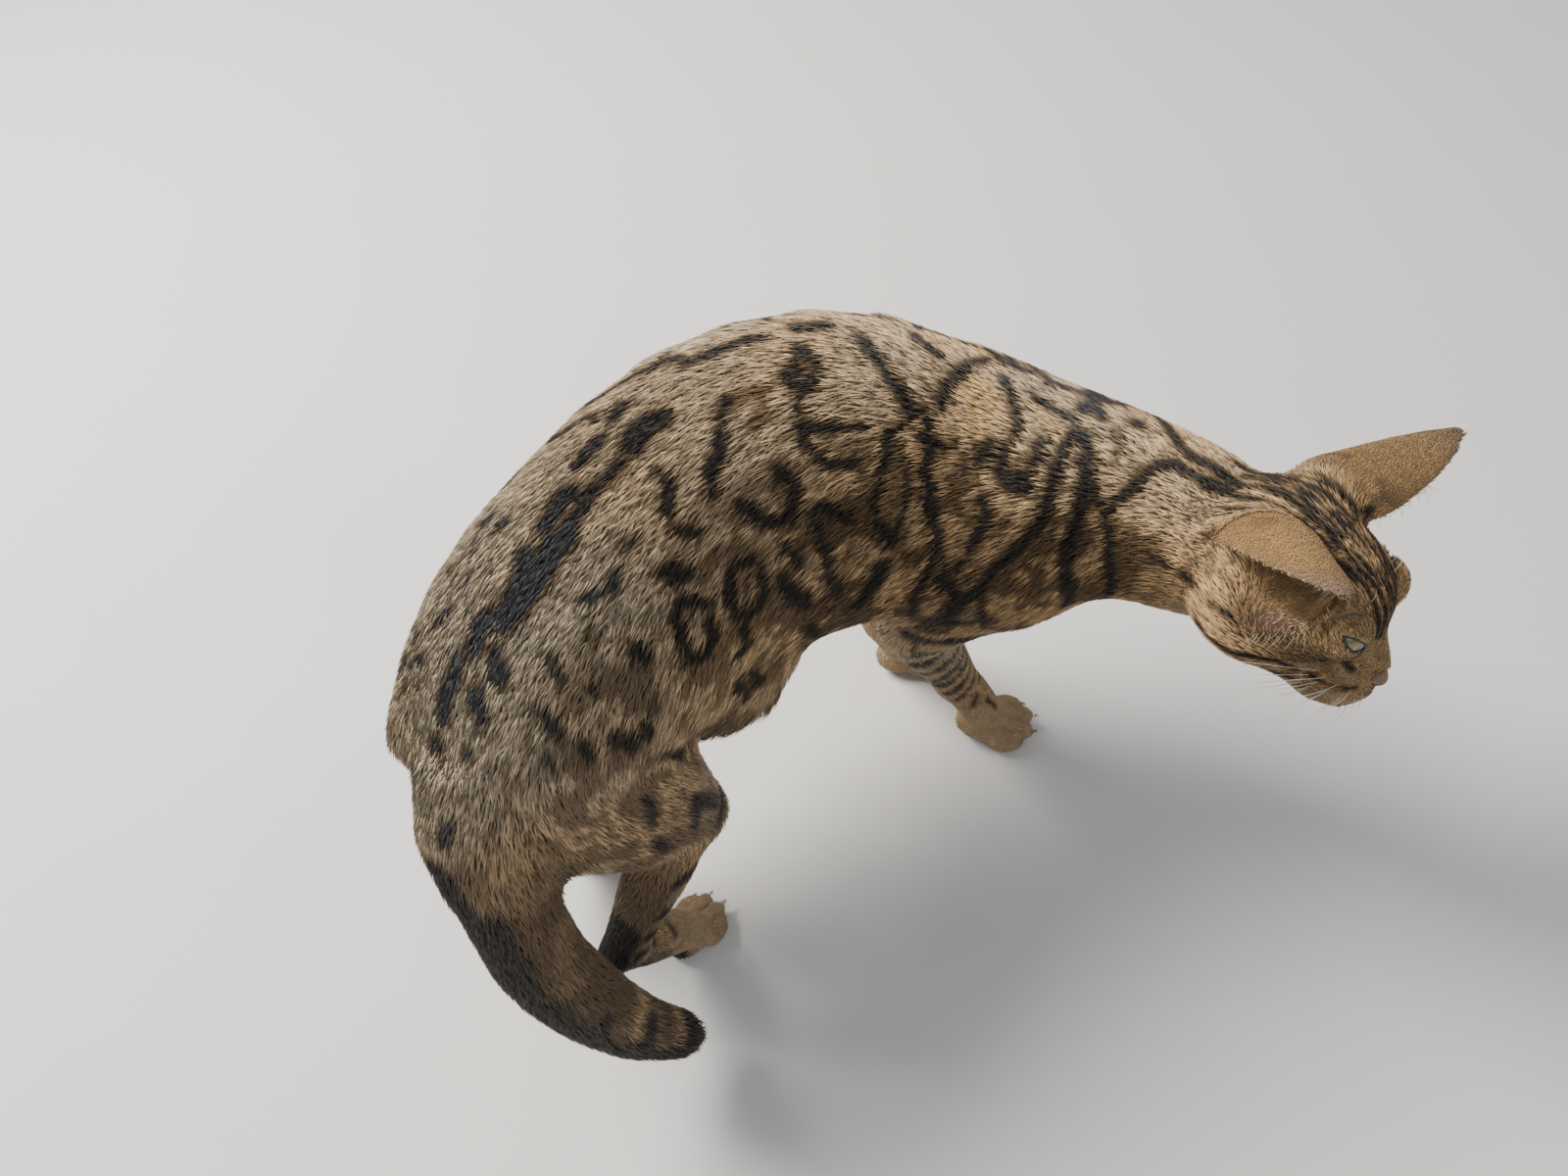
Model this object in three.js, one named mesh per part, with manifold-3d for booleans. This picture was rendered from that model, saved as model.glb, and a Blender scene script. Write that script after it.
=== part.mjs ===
// A spotted short-haired cat, life size, standing with its back arched and its head turned to its right.
// Millimetres. While the cat is laid out, +X runs towards its head, +Y to its left side and +Z up, with
// the floor at Z = 0. The finished group is moved so that its origin is under the middle of its box.

import * as THREE from 'three';
import { mergeVertices } from 'three/addons/utils/BufferGeometryUtils.js';
import Module from 'manifold-3d';

const wasm = await Module();
wasm.setup();

// ---- Driving dimensions -------------------------------------------------------------------------------

const GAP = 0.3; // clearance between neighbouring pieces
const BLEND = 16; // width over which one muscle runs into the next
const MARCH_STEPS = 60; // most steps taken towards a surface
const MARCH_END = 0.01; // a point this close to a surface is on it

// Rings and sides of the surfaces.
const DENSITY = {
  body: { sides: 22, rings: 22 },
  tail: { sides: 11, rings: 6 },
  limb: { sides: 10, rings: 7 },
  foot: { sides: 8, rings: 5 },
  head: { sides: 20, rings: 14 },
  palm: 10,
  toe: 8,
  ear: 7,
  eye: 10,
  nose: 10,
  claw: 5,
};

// Stations of the body from the tail root to inside the head:
// centre X, Y, Z, then half width, height above the centre and depth below it.
const BODY = [
  [-172, -76, 198, 30, 32, 34],
  [-158, -54, 202, 52, 52, 52],
  [-136, -20, 206, 64, 68, 62],
  [-102, 18, 208, 65, 78, 67],
  [-58, 48, 209, 69, 87, 71],
  [-8, 61, 207, 70, 82, 72],
  [36, 58, 200, 64, 68, 72],
  [74, 48, 196, 56, 56, 66],
  [104, 36, 195, 47, 48, 51],
  [126, 24, 194, 42, 43, 43],
  [144, 11, 193, 39, 39, 39],
  [160, -3, 192, 36, 34, 34],
];
// Where the body is cut into its lengths, as fractions of its stations.
const BODY_CUTS = { rump: [0, 0.215], loin: [0.215, 0.45], chest: [0.45, 0.73], neck: [0.73, 1] };

// Stations of the tail, from the rump to the tip.
const TAIL = [
  [-168, -66, 210, 30, 30, 30],
  [-175, -85, 193, 27, 27, 27],
  [-171, -102, 162, 22.5, 22.5, 22.5],
  [-167, -115, 128, 21, 21, 21],
  [-155, -123, 95, 19.5, 19.5, 19.5],
  [-139, -127, 62, 16.5, 16.5, 16.5],
  [-122, -126, 38, 12.5, 12.5, 12.5],
];
const TAIL_CUTS = [0, 0.36, 0.7, 1]; // ends of its three lengths
const TAIL_PARTS = ['tail_base', 'tail_middle', 'tail_tip'];

// Head frame: centre of the skull, and the directions of the nose and of the crown.
const HEAD_CENTRE = [174, -20, 193];
const HEAD_FORWARD = [0.594, -0.755, -0.279];
const HEAD_UP = [0.412, -0.01, 0.911];
// Masses of the head in the head's frame: centre forward, left, up, then radii forward, sideways, up.
// A mass away from the middle is on both sides.
const HEAD_MASSES = [
  [-8, 0, 5, 38, 35, 34], // braincase
  [14, 0, 11, 31, 33, 23], // forehead
  [0, 18, -9, 31, 25, 25], // cheek
  [22, 19, 7, 21, 18, 17], // brow and cheekbone
  [34, 0, -3, 27, 11, 12], // bridge of the nose
  [38, 0, -17, 23, 18, 14], // muzzle
  [47, 8, -17, 13.5, 11, 9.5], // whisker pad
  [14, 0, -22, 36, 23, 15], // lower jaw
  [43, 0, -26, 13, 12, 10], // chin
];
const HEAD_BLEND = 9;
const MOUTH_FRONT = [64, 0, -23]; // mouth line at the lips, in the head's frame
const MOUTH_CORNER = [31, 0, -22.5];
const MOUTH_BLOCK = [60, 100, 40]; // what is cut away below the mouth line, larger than the jaw
const NOSE = { centre: [57.5, 0, -8], radii: [5.5, 7.2, 4.6] };
const EYE = { direction: [0.77, 0.56, 0.31], radius: 10.4, showing: 2.6 }; // showing: past the face

// Ear in the head's frame: base, direction of the tip and direction that the opening faces.
// The right ear is turned forward and outward.
const EAR = {
  left: { base: [-7.5, 25, 21.5], axis: [0.27, 0.88, 0.43], opening: [0.55, 0.25, -0.75] },
  right: { base: [-12, 27.5, 18.5], axis: [0.38, 0.73, 0.57], opening: [0.38, 0.47, -0.75] },
  root: 14, // length below the base, sunk in the head
  height: 80,
  halfWidth: 24,
  thickness: 3,
  baseWrap: 82, // half angle of the cup at the base, degrees
  tipWrap: 24,
  waist: 0.86, // width where it leaves the head, as a share of the widest
  widest: 0.15, // share of the height where it is widest
  tipWidth: 0.12,
  taper: [2.3, 0.72], // powers that round off its outline towards the tip
  thinning: 0.45, // share of the thickness lost by the tip
};

// Limb stations: X, Y, Z of the centre, then half thickness to the side, to the front and to the back.
// The sideways direction of each limb points to the cat's left.
const FORE = ['upper_arm', 'forearm', 'metacarpus'];
const HIND = ['thigh', 'shank', 'metatarsus'];
const LIMBS = {
  fore_right: {
    names: FORE,
    left: [0.2, 0.97, 0],
    upper: [[74, 20, 192, 24, 34, 32], [46, 20, 166, 24, 31, 31], [22, 25, 134, 19, 22, 22]],
    lower: [
      [21, 25, 140, 17, 21, 21],
      [28, 31, 108, 16, 19, 18],
      [40, 38, 74, 13.5, 14.5, 14.5],
      [48, 41, 48, 12.5, 13, 13.5],
    ],
    foot: [[50, 41, 50, 12.5, 12, 12.5], [57, 39, 30, 13, 12, 12], [64, 37.5, 18, 13, 11, 11]],
    toes: { centre: [72, 36, 11], forward: [0.98, -0.2, 0], size: 1 },
  },
  fore_left: {
    names: FORE,
    left: [0.2, 0.97, 0],
    upper: [[78, 76, 188, 22, 34, 32], [48, 86, 164, 23, 31, 31], [18, 88, 136, 19, 22, 22]],
    lower: [
      [17, 88, 142, 17, 21, 21],
      [15, 88, 108, 16, 19, 18],
      [14, 89, 74, 13.5, 14.5, 14.5],
      [14, 90, 48, 12.5, 13, 13.5],
    ],
    foot: [[15, 90, 50, 12.5, 12, 12.5], [20, 91, 30, 13, 12, 12], [26, 92, 18, 13, 11, 11]],
    toes: { centre: [34, 93, 11], forward: [0.98, 0.1, 0], size: 1 },
  },
  hind_right: {
    names: HIND,
    left: [-0.62, 0.78, 0],
    upper: [
      [-144, -68, 196, 25, 42, 38],
      [-133, -65, 170, 28, 50, 44],
      [-113, -58, 142, 26, 38, 36],
      [-100, -52, 120, 20, 22, 22],
    ],
    lower: [
      [-100, -53, 126, 18, 22, 24],
      [-115, -69, 103, 16, 17, 21],
      [-130, -82, 82, 12.5, 13, 15],
      [-140, -91, 66, 11, 12, 12.5],
    ],
    foot: [
      [-143, -94, 68, 11, 11, 11.5],
      [-132, -83, 47, 11, 11, 11],
      [-121, -71, 29, 12, 11.5, 12],
      [-116, -65, 17, 12, 10.5, 10.5],
    ],
    toes: { centre: [-112, -59, 9], forward: [0.68, 0.73, 0], size: 0.87 },
  },
  hind_left: {
    names: HIND,
    left: [-0.62, 0.78, 0],
    upper: [
      [-182, -16, 196, 25, 38, 34],
      [-177, -12, 170, 27, 46, 40],
      [-160, 2, 142, 25, 36, 34],
      [-148, 12, 120, 20, 22, 22],
    ],
    lower: [
      [-148, 12, 126, 18, 22, 24],
      [-164, -6, 106, 16, 17, 21],
      [-180, -22, 88, 12.5, 13, 16],
      [-190, -31, 76, 11, 12, 13],
    ],
    foot: [
      [-193, -34, 80, 11, 11, 12],
      [-183, -23, 56, 11, 11, 11],
      [-172, -10, 31, 12, 11.5, 12],
      [-167, -4.5, 18, 12, 10.5, 10.5],
    ],
    toes: { centre: [-162, 1, 9], forward: [0.74, 0.67, 0], size: 0.87 },
  },
};

// Palm and toes in the paw's frame: centre forward, left, up, then radii. A toe is on both sides.
const PALM = [-8, 0, 0, 18, 13.5, 12.5];
const TOES = [
  [8.5, 5.2, -3.5, 12.5, 5.9, 8.6],
  [3, 12.6, -4.5, 11.5, 5.6, 7.8],
];
const CLAWS = {
  forward: [20.6, 14.1],
  sideways: [5.2, 12.6],
  height: -3.6,
  length: 5,
  radius: 1.2,
  dip: Math.PI / 6,
};

// Muscles that swell the trunk: centre, forward direction, then radii forward, sideways and up.
const BULGES = [
  { centre: [58, 18, 190], forward: [0.95, -0.3, 0], radii: [42, 24, 58] }, // right shoulder
  { centre: [58, 82, 186], forward: [0.95, -0.3, 0], radii: [42, 22, 56] }, // left shoulder
  { centre: [-140, -58, 186], forward: [0.55, 0.83, 0], radii: [54, 28, 54] }, // right haunch
  { centre: [-174, -28, 188], forward: [0.7, 0.7, 0], radii: [50, 27, 50] }, // left haunch
  { centre: [-186, -52, 186], forward: [0.5, 0.86, 0], radii: [34, 20, 36] }, // left of the tail root
  { centre: [-70, -2, 156], forward: [0.8, 0.6, 0], radii: [44, 24, 36] }, // right flank fold
  { centre: [-112, 46, 156], forward: [0.8, 0.6, 0], radii: [44, 24, 36] }, // left flank fold
];

const COLOURS = {
  coat: '#9a7f55',
  pale: '#b79d72',
  dark: '#4a3a26',
  ear: '#a98257',
  nose: '#8a5a4a',
  eye: '#a9a03a',
  claw: '#cfc3a6',
};

// ---- Geometry helpers ---------------------------------------------------------------------------------

const vector = (list) => new THREE.Vector3(...list);

// Three square directions from a forward and an approximate upward or sideways one.
function frameOf(centre, forward, up = [0, 0, 1]) {
  const ahead = vector(forward).normalize();
  const left = vector(up).cross(ahead).normalize();
  const top = ahead.clone().cross(left);
  return new THREE.Matrix4().makeBasis(ahead, left, top).setPosition(vector(centre));
}

function closed(geometry) {
  geometry.deleteAttribute('normal');
  geometry.deleteAttribute('uv');
  return mergeVertices(geometry, 1e-4);
}

function solidOf(geometry) {
  const mesh = new wasm.Mesh({
    numProp: 3,
    vertProperties: new Float32Array(geometry.attributes.position.array),
    triVerts: new Uint32Array(geometry.index.array),
  });
  return new wasm.Manifold(mesh);
}

// The largest body of a solid as a geometry, so that slivers cut off by a neighbour are dropped.
function geometryOf(solid) {
  const bodies = solid.decompose();
  bodies.sort((a, b) => b.volume() - a.volume());
  const mesh = bodies[0].getMesh();
  const geometry = new THREE.BufferGeometry();
  geometry.setAttribute('position', new THREE.BufferAttribute(mesh.vertProperties, 3));
  geometry.setIndex(new THREE.BufferAttribute(mesh.triVerts, 1));
  return geometry;
}

function mapVertices(geometry, placed) {
  const positions = geometry.attributes.position;
  const point = new THREE.Vector3();
  for (let i = 0; i < positions.count; i += 1) {
    point.fromBufferAttribute(positions, i);
    positions.setXYZ(i, ...placed(point).toArray());
  }
  return geometry;
}

// Depth inside a mass (negative) or distance outside it (positive), close to true near its surface.
function distanceTo(mass, point) {
  const local = point.clone().applyMatrix4(mass.inverse);
  const scaled = local.clone().divide(mass.radii);
  const reach = scaled.length();
  const slope = scaled.divide(mass.radii).length();
  return slope > 0 ? (reach * (reach - 1)) / slope : -Math.min(...mass.radii.toArray());
}

// The lesser of two distances, rounded where they are alike, so that two surfaces run into each other.
function blended(a, b, width) {
  const overlap = Math.max(width - Math.abs(a - b), 0) / width;
  return Math.min(a, b) - (overlap * overlap * width) / 4;
}

// How far a ray goes to the surface of the blended masses and of a tube of radius `base` round its start.
function reachOf(origin, direction, masses, blend, base = 0) {
  const point = new THREE.Vector3();
  let reach = base;
  for (let step = 0; step < MARCH_STEPS; step += 1) {
    point.copy(origin).addScaledVector(direction, reach);
    let distance = base > 0 ? reach - base : Infinity;
    for (const mass of masses) distance = blended(distance, distanceTo(mass, point), blend);
    if (distance > -MARCH_END) break;
    reach -= distance;
  }
  return reach;
}

function massOf(frame, radii) {
  return { inverse: frame.clone().invert(), radii: vector(radii) };
}

const BULGE_MASSES = BULGES.map(({ centre, forward, radii }) => massOf(frameOf(centre, forward), radii));

// Masses listed in a frame of their own; those away from the middle are repeated on the other side.
function pairedMasses(frame, list) {
  const masses = [];
  for (const [ahead, side, up, ...radii] of list) {
    for (const sign of side === 0 ? [1] : [1, -1]) {
      const local = new THREE.Matrix4().makeTranslation(ahead, side * sign, up);
      masses.push(massOf(frame.clone().multiply(local), radii));
    }
  }
  return masses;
}

// A closed tube through stations, between two fractions of their length. Each ring lies square to the
// centre line; `left` sets its sideways direction, and the masses swell it.
function tube(stations, options) {
  const { from = 0, to = 1, rings, sides, left, masses = [], grow = 0, ends = [0, 0] } = options;
  const line = new THREE.CatmullRomCurve3(stations.map((s) => vector(s.slice(0, 3))), false, 'catmullrom');
  const sizes = new THREE.CatmullRomCurve3(stations.map((s) => vector(s.slice(3, 6))), false, 'catmullrom');
  const geometry = new THREE.CylinderGeometry(1, 1, 1, sides, rings);
  return closed(mapVertices(geometry, (point) => {
    const share = point.y + 0.5;
    const t = from + (to - from) * share;
    const tangent = line.getTangent(t);
    const centre = line.getPoint(t).addScaledVector(tangent, ends[0] * (1 - share) + ends[1] * share);
    const size = sizes.getPoint(t);
    const across = vector(left).addScaledVector(tangent, -vector(left).dot(tangent)).normalize();
    const below = across.clone().cross(tangent);
    const radius = Math.hypot(point.x, point.z);
    if (radius < 0.5) return centre;
    const direction = across.multiplyScalar(point.x).addScaledVector(below, point.z).normalize();
    const height = point.z < 0 ? size.y : size.z;
    const base = 1 / Math.hypot(point.x / size.x, point.z / height);
    const reach = reachOf(centre, direction, masses, BLEND, base);
    return centre.addScaledVector(direction, reach + grow);
  }));
}

// Rings of a dome: how far out each lies and how wide it is, as shares of the end's radius.
const DOME = [[0.62, 0.78], [0.92, 0.3]];

// The same stations with a dome added at each end.
function domed(stations, start = true, end = true) {
  const first = stations[0];
  const last = stations[stations.length - 1];
  const extended = (edge, inner) => {
    const outward = vector(edge.slice(0, 3)).sub(vector(inner.slice(0, 3))).normalize();
    const radius = (edge[3] + edge[4] + edge[5]) / 3;
    return DOME.map(([along, scale]) => [
      ...vector(edge.slice(0, 3)).addScaledVector(outward, radius * along).toArray(),
      ...edge.slice(3, 6).map((size) => size * scale),
    ]);
  };
  const before = start ? extended(first, stations[1]).reverse() : [];
  const after = end ? extended(last, stations[stations.length - 2]) : [];
  return [...before, ...stations, ...after];
}

// A ball whose every point is moved out from a centre to the surface of the blended masses.
function blob(frame, masses, { sides, rings, blend, grow = 0 }) {
  const geometry = new THREE.SphereGeometry(1, sides, rings);
  const origin = new THREE.Vector3().setFromMatrixPosition(frame);
  return closed(mapVertices(geometry, (point) => {
    const direction = new THREE.Vector3(point.y, -point.x, point.z).transformDirection(frame);
    const reach = reachOf(origin, direction, masses, blend) + grow;
    return origin.clone().addScaledVector(direction, reach);
  }));
}

function ball(frame, radii, sides) {
  const geometry = new THREE.SphereGeometry(1, sides, Math.round(sides / 2));
  geometry.scale(...radii);
  geometry.applyMatrix4(frame);
  return closed(geometry);
}

// ---- The cat's pieces ---------------------------------------------------------------------------------

const cat = new THREE.Group();

function addPiece(name, solid, colour) {
  const material = new THREE.MeshStandardMaterial({ color: colour, roughness: 0.85, metalness: 0 });
  const mesh = new THREE.Mesh(geometryOf(solid), material);
  mesh.name = name;
  cat.add(mesh);
}

const without = (solid, cutters) => cutters.reduce((rest, cutter) => rest.subtract(cutter), solid);

// Head
const headFrame = frameOf(HEAD_CENTRE, HEAD_FORWARD, HEAD_UP);
const headMasses = pairedMasses(headFrame, HEAD_MASSES);

function headBlob(grow) {
  return solidOf(blob(headFrame, headMasses, { ...DENSITY.head, blend: HEAD_BLEND, grow }));
}

const headCentre = vector(HEAD_CENTRE);
const headWhole = headBlob(0);
const headGrown = headBlob(GAP);

function headPoint(list) {
  return vector(list).applyMatrix4(headFrame);
}

function framedInHead(centre) {
  return headFrame.clone().setPosition(headPoint(centre));
}

function mirrored(list, sign) {
  return [list[0], list[1] * sign, list[2]];
}

// The block below the mouth line, from the corner of the mouth forward. Its top face is the mouth.
function mouthBlock(grow) {
  const slope = Math.atan2(MOUTH_FRONT[2] - MOUTH_CORNER[2], MOUTH_FRONT[0] - MOUTH_CORNER[0]);
  const [length, width, depth] = MOUTH_BLOCK;
  const geometry = new THREE.BoxGeometry(length + grow, width, depth + grow);
  geometry.translate((length - grow) / 2, 0, (grow - depth) / 2);
  geometry.rotateY(-slope);
  geometry.translate(...MOUTH_CORNER);
  geometry.applyMatrix4(headFrame);
  return solidOf(closed(geometry));
}

// A cupped leaf: a plate bent round its long axis, deep at the base and flatter at the rounded tip.
function earGeometry(side, sign, grow) {
  const base = vector(mirrored(EAR[side].base, sign));
  const axis = vector(mirrored(EAR[side].axis, sign)).normalize();
  const facing = vector(mirrored(EAR[side].opening, sign));
  facing.addScaledVector(axis, -facing.dot(axis)).normalize();
  const across = axis.clone().cross(facing);
  const plate = new THREE.BoxGeometry(2, 1, 1, DENSITY.ear, 1, DENSITY.ear);
  return closed(mapVertices(plate, (point) => {
    const along = THREE.MathUtils.lerp(-EAR.root, EAR.height, point.z + 0.5);
    const height = Math.max(along / EAR.height, 0);
    const wrap = THREE.MathUtils.degToRad(THREE.MathUtils.lerp(EAR.baseWrap, EAR.tipWrap, height));
    const flare = THREE.MathUtils.lerp(EAR.waist, 1, Math.min(height / EAR.widest, 1));
    const rounding = (1 - height ** EAR.taper[0]) ** EAR.taper[1];
    const halfWidth = EAR.halfWidth * flare * Math.max(rounding, EAR.tipWidth) + grow;
    const bend = halfWidth / Math.sin(wrap);
    const angle = point.x * wrap;
    const thickness = EAR.thickness * (1 - EAR.thinning * height) + 2 * grow;
    const radius = bend + point.y * thickness;
    return base.clone()
      .addScaledVector(axis, along)
      .addScaledVector(across, radius * Math.sin(angle))
      .addScaledVector(facing, bend * Math.cos(wrap) - radius * Math.cos(angle))
      .applyMatrix4(headFrame);
  }));
}

function noseSolid(grow) {
  const radii = NOSE.radii.map((radius) => radius + grow);
  return solidOf(ball(framedInHead(NOSE.centre), radii, DENSITY.nose));
}

// The eyeball, set so that its front stands a little past the face in its own direction.
function eyeSolid(sign, grow) {
  const inHead = vector(mirrored(EYE.direction, sign)).normalize();
  const reach = reachOf(headCentre, inHead.clone().transformDirection(headFrame), headMasses, HEAD_BLEND);
  const centre = inHead.multiplyScalar(reach + EYE.showing - EYE.radius);
  const radius = EYE.radius + grow;
  return solidOf(ball(framedInHead(centre.toArray()), [radius, radius, radius], DENSITY.eye));
}

const headCutters = [mouthBlock(GAP), noseSolid(GAP), eyeSolid(1, GAP), eyeSolid(-1, GAP)];
addPiece('head', without(headWhole, headCutters), COLOURS.coat);
addPiece('jaw', headWhole.intersect(mouthBlock(0)), COLOURS.pale);
addPiece('nose', noseSolid(0), COLOURS.nose);
const earsGrown = [];
for (const [side, sign] of [['left', 1], ['right', -1]]) {
  addPiece(`eye_${side}`, eyeSolid(sign, 0), COLOURS.eye);
  addPiece(`ear_${side}`, solidOf(earGeometry(side, sign, 0)).subtract(headGrown), COLOURS.ear);
  earsGrown.push(solidOf(earGeometry(side, sign, GAP)));
}

// Limbs
function limbTube(stations, left, density, grow) {
  return solidOf(tube(domed(stations), { ...density, left, grow }));
}

// Palm and toes run together, cut flat where they stand on the floor.
function pawSolid(toes, grow) {
  const frame = frameOf(toes.centre, toes.forward);
  const lobe = (sizes, sign, sides) => {
    const [ahead, side, up, ...radii] = sizes.map((size) => size * toes.size);
    const place = frame.clone().multiply(new THREE.Matrix4().makeTranslation(ahead, side * sign, up));
    return solidOf(ball(place, radii.map((radius) => radius + grow), sides));
  };
  const lobes = TOES.flatMap((toe) => [lobe(toe, 1, DENSITY.toe), lobe(toe, -1, DENSITY.toe)]);
  const whole = lobes.reduce((rest, toe) => rest.add(toe), lobe(PALM, 1, DENSITY.palm));
  return whole.trimByPlane([0, 0, 1], -grow);
}

function addClaws(limbName, toes) {
  const frame = frameOf(toes.centre, toes.forward);
  let number = 1;
  for (let pair = 0; pair < 2; pair += 1) {
    for (const sign of [1, -1]) {
      const geometry = new THREE.ConeGeometry(CLAWS.radius, CLAWS.length, DENSITY.claw);
      geometry.rotateZ(-Math.PI / 2);
      geometry.rotateY(CLAWS.dip);
      const place = [CLAWS.forward[pair], CLAWS.sideways[pair] * sign, CLAWS.height];
      geometry.translate(...place.map((distance) => distance * toes.size));
      geometry.applyMatrix4(frame);
      const claw = solidOf(closed(geometry)).subtract(pawSolid(toes, GAP));
      addPiece(`claw_${limbName}_${number}`, claw, COLOURS.claw);
      number += 1;
    }
  }
}

const trunkCutters = [];
for (const [limbName, limb] of Object.entries(LIMBS)) {
  const [upperName, lowerName, footName] = limb.names;
  const upper = (grow) => limbTube(limb.upper, limb.left, DENSITY.limb, grow);
  const lower = (grow) => limbTube(limb.lower, limb.left, DENSITY.limb, grow);
  const foot = limbTube(limb.foot, limb.left, DENSITY.foot, 0);
  trunkCutters.push(upper(GAP), lower(GAP));
  addPiece(`${upperName}_${limbName}`, upper(0), COLOURS.coat);
  addPiece(`${lowerName}_${limbName}`, lower(0).subtract(upper(GAP)), COLOURS.coat);
  addPiece(`${footName}_${limbName}`, without(foot, [lower(GAP), pawSolid(limb.toes, GAP)]), COLOURS.coat);
  addPiece(`paw_${limbName}`, pawSolid(limb.toes, 0), COLOURS.pale);
  addClaws(limbName, limb.toes);
}

const half = GAP / 2; // each side of a cut gives half of the clearance

// Tail: three lengths cut square to its centre line
const tailStations = domed(TAIL, false, true);
const TAIL_LEFT = [-0.5, 0.86, 0];

function tailLength(index, grow) {
  const [from, to] = TAIL_CUTS.slice(index, index + 2);
  const ends = [index === 0 ? 0 : half, to === 1 ? 0 : -half];
  return solidOf(tube(tailStations, { ...DENSITY.tail, from, to, ends, left: TAIL_LEFT, grow }));
}

TAIL_PARTS.forEach((name, index) => {
  addPiece(name, without(tailLength(index, 0), trunkCutters), COLOURS.dark);
});

// Trunk and neck: one tube cut square to the spine
const BODY_LEFT = [-0.1, 1, 0];
const moreCutters = { rump: [tailLength(0, GAP)], neck: [headGrown, ...earsGrown] };
for (const [name, [from, to]] of Object.entries(BODY_CUTS)) {
  const ends = [from === 0 ? 0 : half, to === 1 ? 0 : -half];
  const rings = Math.round((to - from) * DENSITY.body.rings);
  const { sides } = DENSITY.body;
  const length = tube(BODY, { from, to, ends, rings, sides, left: BODY_LEFT, masses: BULGE_MASSES });
  addPiece(name, without(solidOf(length), [...trunkCutters, ...(moreCutters[name] ?? [])]), COLOURS.coat);
}

// ---- Origin: on the floor, under the middle of the cat's box ------------------------------------------

const box = new THREE.Box3().setFromObject(cat);
const middle = box.getCenter(new THREE.Vector3());
cat.position.set(-middle.x, -middle.y, -box.min.z);

export default cat;
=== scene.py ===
"""Skin, coat, eyes, nose, claws, whiskers and stage of a spotted short-haired cat."""
import math

import bmesh
import bpy
import numpy as np
from bpy.props import FloatProperty, FloatVectorProperty, IntProperty, PointerProperty
from bpy.types import Operator, Panel, PropertyGroup
from mathutils import Matrix, Vector, noise
from mathutils.bvhtree import BVHTree


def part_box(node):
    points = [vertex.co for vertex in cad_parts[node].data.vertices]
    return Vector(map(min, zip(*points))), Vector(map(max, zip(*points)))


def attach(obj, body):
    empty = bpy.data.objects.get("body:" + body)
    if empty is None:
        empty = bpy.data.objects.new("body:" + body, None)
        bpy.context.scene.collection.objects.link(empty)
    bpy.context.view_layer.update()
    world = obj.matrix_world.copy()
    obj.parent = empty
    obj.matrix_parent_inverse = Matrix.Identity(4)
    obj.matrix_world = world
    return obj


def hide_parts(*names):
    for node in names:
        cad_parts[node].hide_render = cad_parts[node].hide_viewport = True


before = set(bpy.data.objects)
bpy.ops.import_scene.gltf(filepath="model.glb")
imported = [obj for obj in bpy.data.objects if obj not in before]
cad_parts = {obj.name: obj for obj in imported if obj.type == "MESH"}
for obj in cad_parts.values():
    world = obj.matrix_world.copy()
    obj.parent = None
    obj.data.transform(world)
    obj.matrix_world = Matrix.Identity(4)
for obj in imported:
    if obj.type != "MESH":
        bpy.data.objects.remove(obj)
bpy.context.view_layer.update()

bl_info = {
    "name": "Spotted short-haired cat",
    "version": (1, 0, 0),
    "blender": (4, 5, 0),
    "location": "View3D > Sidebar > Cat",
    "description": "Skin, coat, eyes, nose, claws and whiskers of a life-size cat on a plain floor",
    "category": "Add Mesh",
}

# ---- The cat's layout, in millimetres before it is moved to the middle ---------------------------
MM = 0.001
TO_MIDDLE = np.array((-28.108, 6.890, 0.0))

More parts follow.
